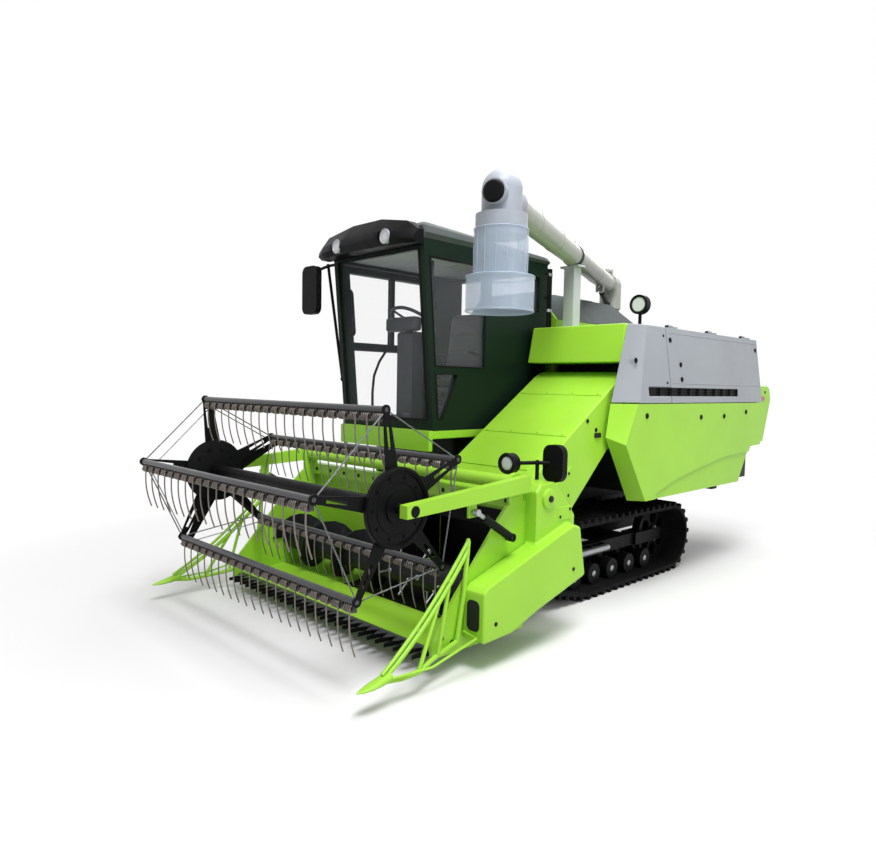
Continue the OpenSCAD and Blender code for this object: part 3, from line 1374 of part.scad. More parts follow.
module auger_boom() color(olive) place() on_riser() difference() {
    union() {
        translate([elbow_len + gap, 0, boom_z]) rotate([0, 90, 0]) cylinder(r = boom_r, h = pipe_len);
        translate([elbow_len + gap, 0, boom_z]) rotate([0, 90, 0]) cylinder(r = flange_r, h = flange_t);
        translate([elbow_len + gap, -boom_lug_t / 2, boom_z])
            cube([boom_eye_r * 4, boom_lug_t, hinge_up]);
        translate([elbow_len, -boom_lug_t / 2, boom_z + hinge_up]) rotate([-90, 0, 0])
            cylinder(r = boom_eye_r, h = boom_lug_t);
        translate([elbow_len, -boom_lug_t / 2, boom_z + hinge_up]) cube([boom_eye_r * 4, boom_lug_t,
            boom_eye_r / 2]);
        for (side = [-1, 1]) let (y = side * (auger_lift_rod_r + eye_more + gap + boom_ear_t / 2) - boom_ear_t / 2)
            translate([auger_lift_tip - auger_lift_r, y, auger_tip_z - auger_lift_r])
                cube([auger_lift_r * 2, boom_ear_t, boom_z - auger_tip_z]);
    }
    translate([elbow_len, -boom_lug_t / 2 - cut, boom_z + hinge_up]) rotate([-90, 0, 0])
        cylinder(r = boom_hinge_r + fit, h = boom_lug_t + cut * 2);
}

module auger_spout() color(roof_gray) place() on_riser() translate([boom_len, 0, 0]) {
    translate([0, 0, boom_z - spout_drop]) cylinder(r = spout_r, h = spout_drop + spout_up);
    translate([0, 0, boom_z + spout_up]) sphere(r = spout_r);
    translate([0, 0, sleeve_z + sleeve_h - neck_h])
        cylinder(r = sleeve_r - sleeve_t - fit, h = boom_z - spout_drop - sleeve_z - sleeve_h + neck_h);
    translate([-spout_r - spout_neck, 0, boom_z]) rotate([0, 90, 0]) cylinder(r = flange_r,
        h = spout_r + spout_neck);
    translate([0, 0, boom_z]) rotate([0, 90, 0]) cylinder(r = boss_r, h = spout_r + boss_len);
}

module auger_sleeve() color(milky) place() on_riser() translate([boom_len, 0, 0]) difference() {
    union() {
        translate([0, 0, sleeve_z + collar_h]) cylinder(r = sleeve_r, h = sleeve_h - collar_h);
        translate([0, 0, sleeve_z]) cylinder(r = collar_r, h = collar_h);
    }
    translate([0, 0, sleeve_z]) cylinder(r = sleeve_r - sleeve_t, h = sleeve_h + cut);
    translate([0, 0, sleeve_z - cut]) cylinder(r = collar_r - sleeve_t, h = collar_h - sleeve_t + cut);
}

module auger_barrel() color(black) place() on_riser()
    barrel(auger_a, auger_b, auger_lift_r, auger_lift_rod_r, auger_lift_pin_r, barrel_share);

module auger_rod() color(steel) place() on_riser() rod(auger_a, auger_b, auger_lift_rod_r, rod_share);

module auger_rest() color(roof_gray) place() {
    slab(rest_st, rest_st + rest_d, rest_y - rest_d / 2, rest_y + rest_d / 2, panel_top_z, rest_z - rest_t);
    slab(rest_st, rest_st + rest_d, rest_y - rest_pad / 2, rest_y + rest_pad / 2, rest_z - rest_t, rest_z);
}

chassis_frame();
track_frames();
gearbox();
track_wheels();
track_left();
track_right();
thresher_body();
left_lower_panel();
left_upper_panel();
side_door();
front_cover();
rear_hood();
grain_tank();
tank_roof();
engine();
engine_cover();
exhaust_stack();
auger_rest();
cab_floor();
cab_frame();
cab_roof();
cab_visor();
cab_glass();
door_frame();
door_glass();
seat();
console();
work_lamps();
mirror_right();
feeder_house();
header_trough();
header_sides();
header_drive();
cutter_bar();
dividers();
header_auger();
header_mirror();
reel_frame();
reel();
reel_control();
bat_1();
bat_2();
bat_3();
bat_4();
bat_5();
header_barrel();
header_rod();
reel_barrels();
reel_rods();
auger_riser();
auger_elbow();
auger_boom();
auger_spout();
auger_sleeve();
auger_barrel();
auger_rod();
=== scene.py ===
"""Looks of a tracked combine harvester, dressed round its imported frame. Lengths are in metres."""

import json
import math

import bmesh
import bpy
from mathutils import Matrix, Vector


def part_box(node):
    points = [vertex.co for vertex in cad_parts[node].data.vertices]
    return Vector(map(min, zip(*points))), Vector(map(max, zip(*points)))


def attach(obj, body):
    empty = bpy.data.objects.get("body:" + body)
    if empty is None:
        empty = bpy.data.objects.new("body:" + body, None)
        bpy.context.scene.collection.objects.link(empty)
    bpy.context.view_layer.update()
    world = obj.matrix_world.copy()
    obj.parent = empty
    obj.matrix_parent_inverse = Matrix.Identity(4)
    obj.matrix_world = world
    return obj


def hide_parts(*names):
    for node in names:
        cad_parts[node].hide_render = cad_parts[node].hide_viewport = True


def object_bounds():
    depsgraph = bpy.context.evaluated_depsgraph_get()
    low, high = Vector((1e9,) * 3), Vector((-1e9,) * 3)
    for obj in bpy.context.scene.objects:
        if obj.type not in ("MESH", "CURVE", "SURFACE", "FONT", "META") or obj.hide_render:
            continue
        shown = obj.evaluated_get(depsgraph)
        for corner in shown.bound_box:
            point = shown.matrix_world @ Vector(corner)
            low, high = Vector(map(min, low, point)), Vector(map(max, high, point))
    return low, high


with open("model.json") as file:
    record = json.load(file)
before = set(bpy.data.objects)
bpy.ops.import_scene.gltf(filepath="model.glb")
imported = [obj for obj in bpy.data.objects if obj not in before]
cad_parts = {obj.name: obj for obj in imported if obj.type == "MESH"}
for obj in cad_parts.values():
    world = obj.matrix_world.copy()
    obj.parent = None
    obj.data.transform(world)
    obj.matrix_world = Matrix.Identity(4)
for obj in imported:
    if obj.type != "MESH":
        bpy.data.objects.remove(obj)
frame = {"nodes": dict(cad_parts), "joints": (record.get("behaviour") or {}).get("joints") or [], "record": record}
CAD_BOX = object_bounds()
nodes = frame["nodes"]
joints = {joint["name"]: joint for joint in frame["joints"]}

# A station is a distance behind the divider tips; the straw hood ends at the rear station
REAR_STATION = 5.215
NOSE_X = CAD_BOX[0].x + REAR_STATION
UP = Vector((0, 0, 1))
LEFT = Vector((0, 1, 0))
FORWARD = Vector((1, 0, 0))


def at(station, y, z):
    return Vector((NOSE_X - station, y, z))


def srgb(red, green, blue):
    """Linear colour of a colour written as it shows on a screen, 0 to 255."""
    shares = [c / 255 for c in (red, green, blue)]
    linear = [c / 12.92 if c <= 0.04045 else ((c + 0.055) / 1.055) ** 2.4 for c in shares]
    return (*linear, 1)


# Materials


class Shader:
    """A material's node tree, with short calls for the nodes that these materials use."""

    def __init__(self, name):
        self.material = bpy.data.materials.new(name)
        self.material.use_nodes = True
        self.tree = self.material.node_tree
        self.surface = self.tree.nodes["Principled BSDF"]
        self.place = self.add("ShaderNodeTexCoord").outputs["Object"]

    def add(self, kind, **values):
        node = self.tree.nodes.new(kind)
        for name, value in values.items():
            setattr(node, name, value)
        return node

    def link(self, source, target):
        self.tree.links.new(source, target)

    def set(self, **values):
        for name, value in values.items():
            self.surface.inputs[name.replace("_", " ")].default_value = value

    def noise(self, scale, detail=3.0, stretch=None):
        node = self.add("ShaderNodeTexNoise")
        node.inputs["Scale"].default_value = scale
        node.inputs["Detail"].default_value = detail
        self.link(self.stretched(stretch), node.inputs["Vector"])
        return node.outputs["Fac"]

    def cells(self, scale, feature="F1"):
        node = self.add("ShaderNodeTexVoronoi", feature=feature)
        node.inputs["Scale"].default_value = scale
        self.link(self.place, node.inputs["Vector"])
        return node.outputs["Distance"]

    def stretched(self, stretch):
        if stretch is None:
            return self.place
        mapping = self.add("ShaderNodeMapping")
        mapping.inputs["Scale"].default_value = stretch
        self.link(self.place, mapping.inputs["Vector"])
        return mapping.outputs["Vector"]

    def spread(self, value, low, high, start=0.3, end=0.7):
        """Maps a value from start..end to low..high."""
        node = self.add("ShaderNodeMapRange")
        for name, number in (("From Min", start), ("From Max", end), ("To Min", low), ("To Max", high)):
            node.inputs[name].default_value = number
        self.link(value, node.inputs["Value"])
        return node.outputs["Result"]

    def blend(self, share, first, second):
        """A colour between two colours; each is a colour or another node's output."""
        node = self.add("ShaderNodeMix", data_type="RGBA")
        self.link(share, node.inputs["Factor"])
        for socket, colour in ((node.inputs[6], first), (node.inputs[7], second)):
            if isinstance(colour, tuple):
                socket.default_value = colour
            else:
                self.link(colour, socket)
        return node.outputs[2]

    def times(self, first, second):
        node = self.add("ShaderNodeMath", operation="MULTIPLY")
        self.link(first, node.inputs[0])
        self.link(second, node.inputs[1])
        return node.outputs[0]

    def upward(self):
        """How far a surface faces up, from -1 to 1."""
        split = self.add("ShaderNodeSeparateXYZ")
        self.link(self.add("ShaderNodeNewGeometry").outputs["Normal"], split.inputs[0])
        return split.outputs["Z"]

    def edges(self, radius):
        """1 where the surface is near a sharp edge, 0 elsewhere."""
        bevel = self.add("ShaderNodeBevel", samples=4)
        bevel.inputs["Radius"].default_value = radius
        dot = self.add("ShaderNodeVectorMath", operation="DOT_PRODUCT")
        self.link(bevel.outputs["Normal"], dot.inputs[0])
        self.link(self.add("ShaderNodeNewGeometry").outputs["Normal"], dot.inputs[1])
        return self.spread(dot.outputs["Value"], 1.0, 0.0, 0.90, 0.995)

    def colour(self, output):
        self.link(output, self.surface.inputs["Base Color"])

    def roughness(self, output):
        self.link(output, self.surface.inputs["Roughness"])

    def bump(self, height, strength, distance):
        node = self.add("ShaderNodeBump")
        node.inputs["Strength"].default_value = strength
        node.inputs["Distance"].default_value = distance
        self.link(height, node.inputs["Height"])
        self.link(node.outputs["Normal"], self.surface.inputs["Normal"])


DUST = srgb(196, 190, 172)
RUBBER_DUST = srgb(42, 40, 38)


def shade(colour, factor):
    return (*[min(1.0, c * factor) for c in colour[:3]], 1)


def paint(name, colour, rough=0.34, coat=0.25, dust=0.05, worn=None, gloss=0.4):
    """Sprayed enamel: slight orange peel, uneven gloss, a film of dust on top and paler worn edges."""
    s = Shader(name)
    s.set(Coat_Weight=coat, Coat_Roughness=0.12, IOR=1.45, Specular_IOR_Level=gloss)
    shown = s.blend(s.spread(s.noise(2.2), 0.0, 1.0), shade(colour, 0.95), shade(colour, 1.04))
    flat = s.spread(s.upward(), 0.0, 1.0, 0.2, 0.9)
    film = s.times(s.spread(s.noise(9.0, 6.0), 0.0, dust, 0.45, 0.75), flat)
    shown = s.blend(film, shown, DUST)
    if worn:
        rub = s.times(s.edges(0.006), s.spread(s.noise(38.0, 6.0), 0.0, 0.55, 0.52, 0.66))
        shown = s.blend(rub, shown, worn)
    s.colour(shown)
    s.roughness(s.spread(s.noise(14.0, 5.0), rough - 0.05, rough + 0.07))
    s.bump(s.noise(420.0, 2.0), 0.05, 0.0008)
    return s.material


def moulded(name, colour, rough=0.5, grain=260.0, bump=0.12, gloss=0.5):
    """Moulded plastic with a fine grain."""
    s = Shader(name)
    s.set(IOR=1.46, Specular_IOR_Level=gloss)
    shown = s.blend(s.spread(s.noise(5.0), 0.0, 1.0), shade(colour, 0.92), shade(colour, 1.06))
    s.colour(shown)
    s.roughness(s.spread(s.noise(24.0, 4.0), rough - 0.06, rough + 0.08))
    s.bump(s.cells(grain), bump, 0.0006)
    return s.material


def rubber(name, colour):
    """Tyre-black rubber with dry dust in its low places."""
    s = Shader(name)
    s.set(IOR=1.5, Specular_IOR_Level=0.1)
    dusty = s.spread(s.noise(16.0, 8.0), 0.0, 0.35, 0.5, 0.8)
    black = s.blend(s.noise(60.0), shade(colour, 0.8), shade(colour, 1.25))
    s.colour(s.blend(dusty, black, RUBBER_DUST))
    s.roughness(s.spread(s.noise(30.0, 5.0), 0.62, 0.88))
    s.bump(s.noise(190.0, 6.0), 0.35, 0.0015)
    return s.material


def bare_metal(name, colour, rough=0.34, stretch=(1, 60, 1)):
    """Machined steel: streaks along one direction, small scratches and darker stains."""
    s = Shader(name)
    s.set(Metallic=0.9)
    streak = s.noise(9.0, 5.0, stretch)
    stain = s.spread(s.noise(7.0, 8.0), 0.0, 0.5, 0.5, 0.78)
    s.colour(s.blend(stain, s.blend(streak, shade(colour, 0.82), shade(colour, 1.12)), shade(colour, 0.45)))
    s.roughness(s.spread(streak, rough - 0.08, rough + 0.16))
    s.bump(streak, 0.08, 0.0008)
    return s.material


def window(name, colour, alpha):
    """Tinted safety glass, with faint dust that takes a little of its gloss."""
    s = Shader(name)
    s.set(IOR=1.45, Alpha=alpha, Specular_IOR_Level=0.6)
    s.colour(s.blend(s.spread(s.noise(3.0), 0.0, 1.0), shade(colour, 0.92), shade(colour, 1.08)))
    s.roughness(s.spread(s.noise(8.0, 6.0), 0.02, 0.09))
    return s.material


def translucent(name, colour, alpha):
    """Milky polyethylene: soft, waxy and half see-through."""
    s = Shader(name)
    s.set(IOR=1.5, Alpha=alpha, Subsurface_Weight=0.25, Subsurface_Radius=(0.02, 0.02, 0.02))
    s.colour(s.blend(s.spread(s.noise(6.0, 4.0), 0.0, 1.0), shade(colour, 0.95), shade(colour, 1.03)))
    s.roughness(s.spread(s.noise(18.0, 4.0), 0.26, 0.4))
    s.bump(s.noise(40.0, 3.0), 0.08, 0.002)
    return s.material


def leather(name, colour):
    """Grained vinyl for the seat."""
    s = Shader(name)
    s.set(IOR=1.48, Sheen_Weight=0.15)
    s.colour(s.blend(s.spread(s.noise(12.0), 0.0, 1.0), shade(colour, 0.85), shade(colour, 1.2)))
    s.roughness(s.spread(s.noise(40.0, 4.0), 0.45, 0.6))
    s.bump(s.cells(330.0, "DISTANCE_TO_EDGE"), 0.35, 0.001)
    return s.material


def lens(name, colour):
    """Lamp lens with moulded ribs over a bright reflector."""
    s = Shader(name)
    s.set(IOR=1.5, Coat_Weight=0.6, Coat_Roughness=0.04)
    rib = s.add("ShaderNodeTexWave", bands_direction="Y")
    rib.inputs["Scale"].default_value = 40.0
    s.link(s.place, rib.inputs["Vector"])
    s.colour(s.blend(rib.outputs["Fac"], shade(colour, 0.72), colour))
    s.roughness(s.spread(rib.outputs["Fac"], 0.08, 0.2))
    s.bump(rib.outputs["Fac"], 0.3, 0.003)
    return s.material


LIME = srgb(156, 212, 58)
LIME_PALE = srgb(188, 232, 120)
looks = {}


def add_look(kind, name, *values, **options):
    looks[name] = kind(name, *values, **options)


add_look(paint, "lime_paint", LIME, coat=0.12, worn=LIME_PALE, gloss=0.28)
add_look(paint, "gray_panel", srgb(150, 155, 161), rough=0.38, coat=0.12, dust=0.03, gloss=0.3)
add_look(moulded, "roof_plastic", srgb(190, 195, 196), rough=0.42, bump=0.06)
add_look(moulded, "roof_gray", srgb(80, 86, 85), rough=0.55, bump=0.06, gloss=0.12)
add_look(paint, "black_paint", srgb(13, 14, 15), rough=0.42, coat=0.0, dust=0.02, gloss=0.1)
add_look(paint, "charcoal_paint", srgb(33, 34, 36), rough=0.42, coat=0.02, dust=0.02,
         worn=srgb(96, 96, 94), gloss=0.14)
add_look(paint, "cab_paint", srgb(20, 36, 27), rough=0.38, coat=0.0, dust=0.01, gloss=0.12)
add_look(bare_metal, "bare_steel", srgb(168, 170, 174))
add_look(bare_metal, "dark_steel", srgb(104, 105, 108), rough=0.42)
add_look(paint, "olive_paint", srgb(163, 167, 156), rough=0.4)
add_look(rubber, "track_rubber", srgb(16, 16, 17))
add_look(rubber, "seal_rubber", srgb(22, 22, 23))
add_look(translucent, "milky_plastic", srgb(196, 210, 226), 0.36)
add_look(window, "tinted_glass", srgb(232, 234, 248), 0.032)
add_look(leather, "seat_leather", srgb(46, 48, 50))
add_look(lens, "lamp_lens", srgb(232, 234, 238))
add_look(lens, "lamp_red", srgb(176, 30, 24))
add_look(bare_metal, "mirror_glass", srgb(214, 220, 226), rough=0.12, stretch=(1, 1, 1))
add_look(moulded, "gray_plastic", srgb(50, 54, 58))
add_look(bare_metal, "spring_steel", srgb(132, 124, 117), rough=0.44)
add_look(paint, "bat_paint", srgb(54, 55, 58), rough=0.36, coat=0.3, dust=0.05, worn=srgb(140, 140, 138))
add_look(moulded, "lining", srgb(196, 197, 208), rough=0.8, grain=420.0, bump=0.2, gloss=0.2)
add_look(moulded, "spout_plastic", srgb(160, 166, 175), rough=0.42, bump=0.06)


# Mesh helpers


def ring_frame(direction, hint=UP):
    """Two unit vectors across a direction."""
    d = direction.normalized()
    across = d.cross(hint)
    if across.length < 1e-4:
        across = d.cross(FORWARD)
    across.normalize()
    return across, across.cross(d).normalized()


def skin(bm, rings, closed=False):
    """Joins rings of points with faces and caps the ends, or joins the last ring to the first."""
    made = [[bm.verts.new(p) for p in ring] for ring in rings]
    pairs = list(zip(made, made[1:] + made[:1] if closed else made[1:]))
    for a, b in pairs:
        for i in range(len(a)):
            j = (i + 1) % len(a)
            bm.faces.new((a[i], a[j], b[j], b[i]))
    if not closed:
        bm.faces.new(list(reversed(made[0])))
        bm.faces.new(made[-1])


def add_tube(bm, points, radius, sides=10, closed=False):
    """A round tube along points; radius is one number or one for each point."""
    points = [Vector(p) for p in points]
    count = len(points)
    radii = radius if isinstance(radius, (list, tuple)) else [radius] * count
    rings = []
    across = None
    for i, p in enumerate(points):
        before = points[i - 1] if i or closed else p
        after = points[(i + 1) % count] if i + 1 < count or closed else p
        d = (after - before).normalized()
        if across is None:
            across, other = ring_frame(d)
        else:
            across = (across - d * across.dot(d)).normalized()
            other = across.cross(d).normalized()
        angles = [2 * math.pi * k / sides for k in range(sides)]
        rings.append([p + (across * math.cos(t) + other * math.sin(t)) * radii[i] for t in angles])
    skin(bm, rings, closed)


def add_box(bm, low, high, bevel=0.0):
    """A box between two corners, with its edges rounded by bevel."""
    corners = bmesh.ops.create_cube(bm, size=1.0)["verts"]
    size = Vector(high) - Vector(low)
    centre = (Vector(high) + Vector(low)) / 2
    for v in corners:
        v.co = Vector([v.co[i] * size[i] for i in range(3)]) + centre
    if bevel:
        edges = {e for v in corners for e in v.link_edges}
        bmesh.ops.bevel(bm, geom=list(edges), offset=bevel, segments=2, affect="EDGES", profile=0.5)


def add_bolt(bm, place, normal, radius=0.009, height=0.007):
    """A hexagon head on a washer, standing on a surface."""
    n = Vector(normal).normalized()
    add_tube(bm, [place, place + n * height * 0.25], radius * 1.45, sides=16)
    add_tube(bm, [place + n * height * 0.2, place + n * height], radius, sides=6)


def add_bolts(bm, places, normal, radius, height):
    for place in places:
        add_bolt(bm, place, normal, radius, height)


def side_points(y, pairs):
    """Points of a side wall from pairs of station and height."""
    return [at(s, y, z) for s, z in pairs]


def rectangle(s0, s1, z0, z1):
    return [(s0, z0), (s0, z1), (s1, z1), (s1, z0)]


def circle(centre, normal, radius, count):
    """Points round a circle."""
    across, other = ring_frame(normal)
    angles = [2 * math.pi * k / count for k in range(count)]
    return [centre + (across * math.cos(t) + other * math.sin(t)) * radius for t in angles]


def add_ring(bm, centre, normal, radius, thick, count=40):
    add_tube(bm, circle(centre, normal, radius, count), thick, 8, True)


def add_disc(bm, centre, normal, radius, depth, rim=0.003, sides=36):
    """A round plate that stands on a surface, with its outer edge rounded."""
    n = Vector(normal).normalized()
    heights = [0, depth - rim, depth - rim * 0.3, depth]
    add_tube(bm, [centre + n * h for h in heights], [radius, radius, radius - rim * 0.3, radius - rim], sides)


def add_plate(bm, outline, direction, depth, rim=0.002):
    """A flat plate with a chamfered outer edge, from the outline of its foot."""
    outline = [Vector(p) for p in outline]
    d = Vector(direction).normalized()
    middle = sum(outline, Vector()) / len(outline)
    inner = [p + (middle - p).normalized() * rim for p in outline]
    skin(bm, [outline, [p + d * (depth - rim) for p in outline], [p + d * depth for p in inner]])


def add_grip(bm, first, last, out, radius, sides=10):
    """A bow handle between two points of a surface."""
    first, last, out = Vector(first), Vector(last), Vector(out)
    along = (last - first) * 0.12
    add_tube(bm, [first, first + out * 0.75, first + out + along * 0.5, first + out + along * 1.5,
                  last + out - along * 1.5, last + out - along * 0.5, last + out * 0.75, last], radius, sides)


def smooth(mesh, degrees=38):
    for polygon in mesh.polygons:
        polygon.use_smooth = True
    mesh.set_sharp_from_angle(angle=math.radians(degrees))


def piece(name, bm, look, body, replaced=()):
    """Makes a mesh piece with one look that rides on a body."""
    bmesh.ops.recalc_face_normals(bm, faces=bm.faces)
    mesh = bpy.data.meshes.new(name)
    bm.to_mesh(mesh)
    bm.free()
    smooth(mesh)
    obj = bpy.data.objects.new(name, mesh)
    bpy.context.scene.collection.objects.link(obj)
    mesh.materials.append(looks[look])
    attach(obj, body)
    if replaced:
        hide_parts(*replaced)
    return obj


# Camera, as fitted to the photograph's frame of 876 by 862 pixels
IMAGE_W = 876
FOCAL_PIXELS = 698.44
SENSOR = 36.0
CAMERA_AHEAD = 1.947
CAMERA_Y = 3.643
CAMERA_Z = 1.553
CAMERA_YAW = math.radians(45.51)
CAMERA_PITCH = math.radians(3.772)
CAMERA_ROLL = math.radians(1.069)


def make_camera():
    data = bpy.data.cameras.new("camera")
    data.sensor_width = SENSOR
    data.lens = FOCAL_PIXELS * SENSOR / IMAGE_W
    data.clip_end = 200
    camera = bpy.data.objects.new("camera", data)
    bpy.context.scene.collection.objects.link(camera)
    level = math.cos(CAMERA_PITCH)
    ahead = Vector((-math.cos(CAMERA_YAW) * level, -math.sin(CAMERA_YAW) * level, -math.sin(CAMERA_PITCH)))
    right = Vector((-math.sin(CAMERA_YAW), math.cos(CAMERA_YAW), 0))
    above = right.cross(ahead)
    tilted = right * math.cos(CAMERA_ROLL) + above * math.sin(CAMERA_ROLL)
    above = tilted.cross(ahead)
    turn = Matrix((tilted, above, -ahead)).transposed()
    place = Vector((NOSE_X + CAMERA_AHEAD, CAMERA_Y, CAMERA_Z))
    camera.matrix_world = Matrix.Translation(place) @ turn.to_4x4()
    bpy.context.scene.camera = camera


# Studio: a white floor that fades into a white world, and large soft lamps


def seen_directly(tree):
    """1 for rays from the camera, in reflections and through glass."""
    path = tree.nodes.new("ShaderNodeLightPath")
    seen = path.outputs["Is Camera Ray"]
    for name in ("Is Glossy Ray", "Is Transmission Ray"):
        larger = tree.nodes.new("ShaderNodeMath")
        larger.operation = "MAXIMUM"
        tree.links.new(seen, larger.inputs[0])
        tree.links.new(path.outputs[name], larger.inputs[1])
        seen = larger.outputs[0]
    return seen


def make_world(ambient=0.32):
    world = bpy.data.worlds.new("studio")
    bpy.context.scene.world = world
    world.use_nodes = True
    tree = world.node_tree
    tree.nodes["Background"].inputs["Strength"].default_value = ambient
    tree.nodes["Background"].inputs["Color"].default_value = (1, 1, 1, 1)
    white = tree.nodes.new("ShaderNodeBackground")
    white.inputs["Color"].default_value = (1, 1, 1, 1)
    mix = tree.nodes.new("ShaderNodeMixShader")
    tree.links.new(seen_directly(tree), mix.inputs[0])
    tree.links.new(tree.nodes["Background"].outputs[0], mix.inputs[1])
    tree.links.new(white.outputs[0], mix.inputs[2])
    tree.links.new(mix.outputs[0], tree.nodes["World Output"].inputs["Surface"])


FLOOR_DARK, FLOOR_PALE = (0.55, 0.55, 0.55, 1), (0.57, 0.57, 0.57, 1)
FLOOR_SEEN = (0.8, 0.8, 0.8, 1)


def make_floor(half=40.0, fade_start=2.9, fade_end=4.6):
    bm = bmesh.new()
    corners = [(-half, -half, 0), (half, -half, 0), (half, half, 0), (-half, half, 0)]
    bm.faces.new([bm.verts.new(c) for c in corners])
    mesh = bpy.data.meshes.new("floor")
    bm.to_mesh(mesh)
    bm.free()
    floor = bpy.data.objects.new("floor", mesh)
    bpy.context.scene.collection.objects.link(floor)
    s = Shader("floor")
    s.set(Roughness=0.9, Specular_IOR_Level=0.1)
    s.colour(s.blend(seen_directly(s.tree), s.blend(s.noise(3.0), FLOOR_DARK, FLOOR_PALE), FLOOR_SEEN))
    reach = s.add("ShaderNodeVectorMath", operation="LENGTH")
    s.link(s.place, reach.inputs[0])
    fade = s.times(s.spread(reach.outputs["Value"], 0.0, 1.0, fade_start, fade_end), seen_directly(s.tree))
    glow = s.add("ShaderNodeEmission")
    mix = s.add("ShaderNodeMixShader")
    s.link(fade, mix.inputs[0])
    s.link(s.surface.outputs[0], mix.inputs[1])
    s.link(glow.outputs[0], mix.inputs[2])
    s.link(mix.outputs[0], s.tree.nodes["Material Output"].inputs["Surface"])
    mesh.materials.append(s.material)


def make_lamp(name, place, target, size, power):
    data = bpy.data.lights.new(name, "AREA")
    data.shape = "SQUARE"
    data.size = size
    data.energy = power
    lamp = bpy.data.objects.new(name, data)
    bpy.context.scene.collection.objects.link(lamp)
    lamp.location = place
    lamp.rotation_mode = "QUATERNION"
    lamp.rotation_quaternion = (Vector(target) - Vector(place)).to_track_quat("-Z", "Y")


# Name, place, size and watts of each lamp
LAMPS = [
    ("key", (3.2, 3.6, 8.5), 3.5, 700),
    ("top", (-2.0, 0.5, 8.5), 5.0, 380),
    ("side", (0.5, 10.0, 4.0), 5.0, 215),
    ("rear", (-6.5, -4.0, 5.0), 4.0, 150),
]
LAMP_AIM = Vector((0, 0, 1.2))


def make_studio():
    bpy.context.scene.view_settings.view_transform = "Standard"
    make_world()
    make_floor()
    for name, place, size, power in LAMPS:
        make_lamp(name, Vector(place), LAMP_AIM, size, power)


# The CAD solids that stay: their looks, and the rounding of their edges
NODES_WITH = {
    "cab_paint": ("cab_frame", "door_frame"),
    "charcoal_paint": ("header_auger",),
    "roof_gray": ("cab_roof", "tank_roof"),
    "black_paint": ("track_wheels", "track_frames", "chassis_frame", "gearbox",
                    "reel", "reel_control", "cutter_bar"),
    "olive_paint": ("auger_elbow",),
    "spout_plastic": ("auger_spout",),
    "gray_plastic": ("console",),
}
LOOK_OF = {node: name for name, group in NODES_WITH.items() for node in group}
ROUNDING = {
    "left_lower_panel": 0.014, "left_upper_panel": 0.01, "side_door": 0.01, "front_cover": 0.022,
    "rear_hood": 0.012, "grain_tank": 0.012, "tank_roof": 0.025, "cab_roof": 0.02, "cab_visor": 0.016,
    "cab_frame": 0.008, "door_frame": 0.008, "cab_floor": 0.006, "feeder_house": 0.018, "header_drive": 0.035,
    "header_trough": 0.004, "header_sides": 0.004, "chassis_frame": 0.006, "track_frames": 0.006,
    "gearbox": 0.015, "engine": 0.02, "engine_cover": 0.005, "mirror_right": 0.02, "header_mirror": 0.012,
    "reel_frame": 0.006, "track_left": 0.004, "track_right": 0.004, "console": 0.02, "auger_rest": 0.006,
    "thresher_body": 0.01, "track_wheels": 0.003, "auger_elbow": 0.004, "auger_sleeve": 0.004,
    "auger_boom": 0.004, "auger_spout": 0.008, "reel": 0.0025, "reel_control": 0.0025,
}


def round_edges(obj, width):
    weld = obj.modifiers.new("weld", "WELD")
    weld.merge_threshold = 1e-5
    bevel = obj.modifiers.new("round", "BEVEL")
    bevel.width = width
    bevel.segments = 3
    bevel.limit_method = "ANGLE"
    bevel.angle_limit = math.radians(32)
    bevel.miter_outer = "MITER_ARC"
    normals = obj.modifiers.new("normals", "WEIGHTED_NORMAL")
    normals.keep_sharp = False


def dress_solids():
    slots = {row["node"]: row["material_slot"] for row in frame["record"]["subparts"]}
    for name, obj in nodes.items():
        obj.data.materials.clear()
        obj.data.materials.append(looks[LOOK_OF.get(name, slots[name])])
        if name in ROUNDING:
            round_edges(obj, ROUNDING[name])


# Reel bats with spring tines
BAT_HALF = 0.965
BAT_R = 0.018
PIVOT_R = 0.0118
TINES = 20
TINE_R = 0.0045
TINE_DROP = 0.245
TINE_BOW, TINE_SWEEP, TINE_STEPS = 0.006, 0.034, 8
COIL_R = 0.021
COIL_TURNS = 4
COIL_LEN = 0.062
COIL_STEPS = 12


def add_spring_tine(bm, y, axis):
    """One tine: a coil round the rod below the bat's tube, then a wire that hangs and curves rearward."""
    rod = axis + Vector((0, 0, -BAT_R - COIL_R))
    steps = COIL_TURNS * COIL_STEPS
    points = []
    for k in range(steps + 1):
        turn = 2 * math.pi * k / COIL_STEPS
        along = y + COIL_LEN * (k / steps - 0.5)
        points.append(rod + Vector((COIL_R * math.cos(turn), along, -COIL_R * math.sin(turn))))
    start = points[-1]
    for k in range(1, TINE_STEPS + 1):
        share = k / TINE_STEPS
        back = TINE_BOW * math.sin(math.pi * share) - TINE_SWEEP * share**2.2
        points.append(start + Vector((back, 0, -TINE_DROP * share)))
    add_tube(bm, points, TINE_R, sides=6)


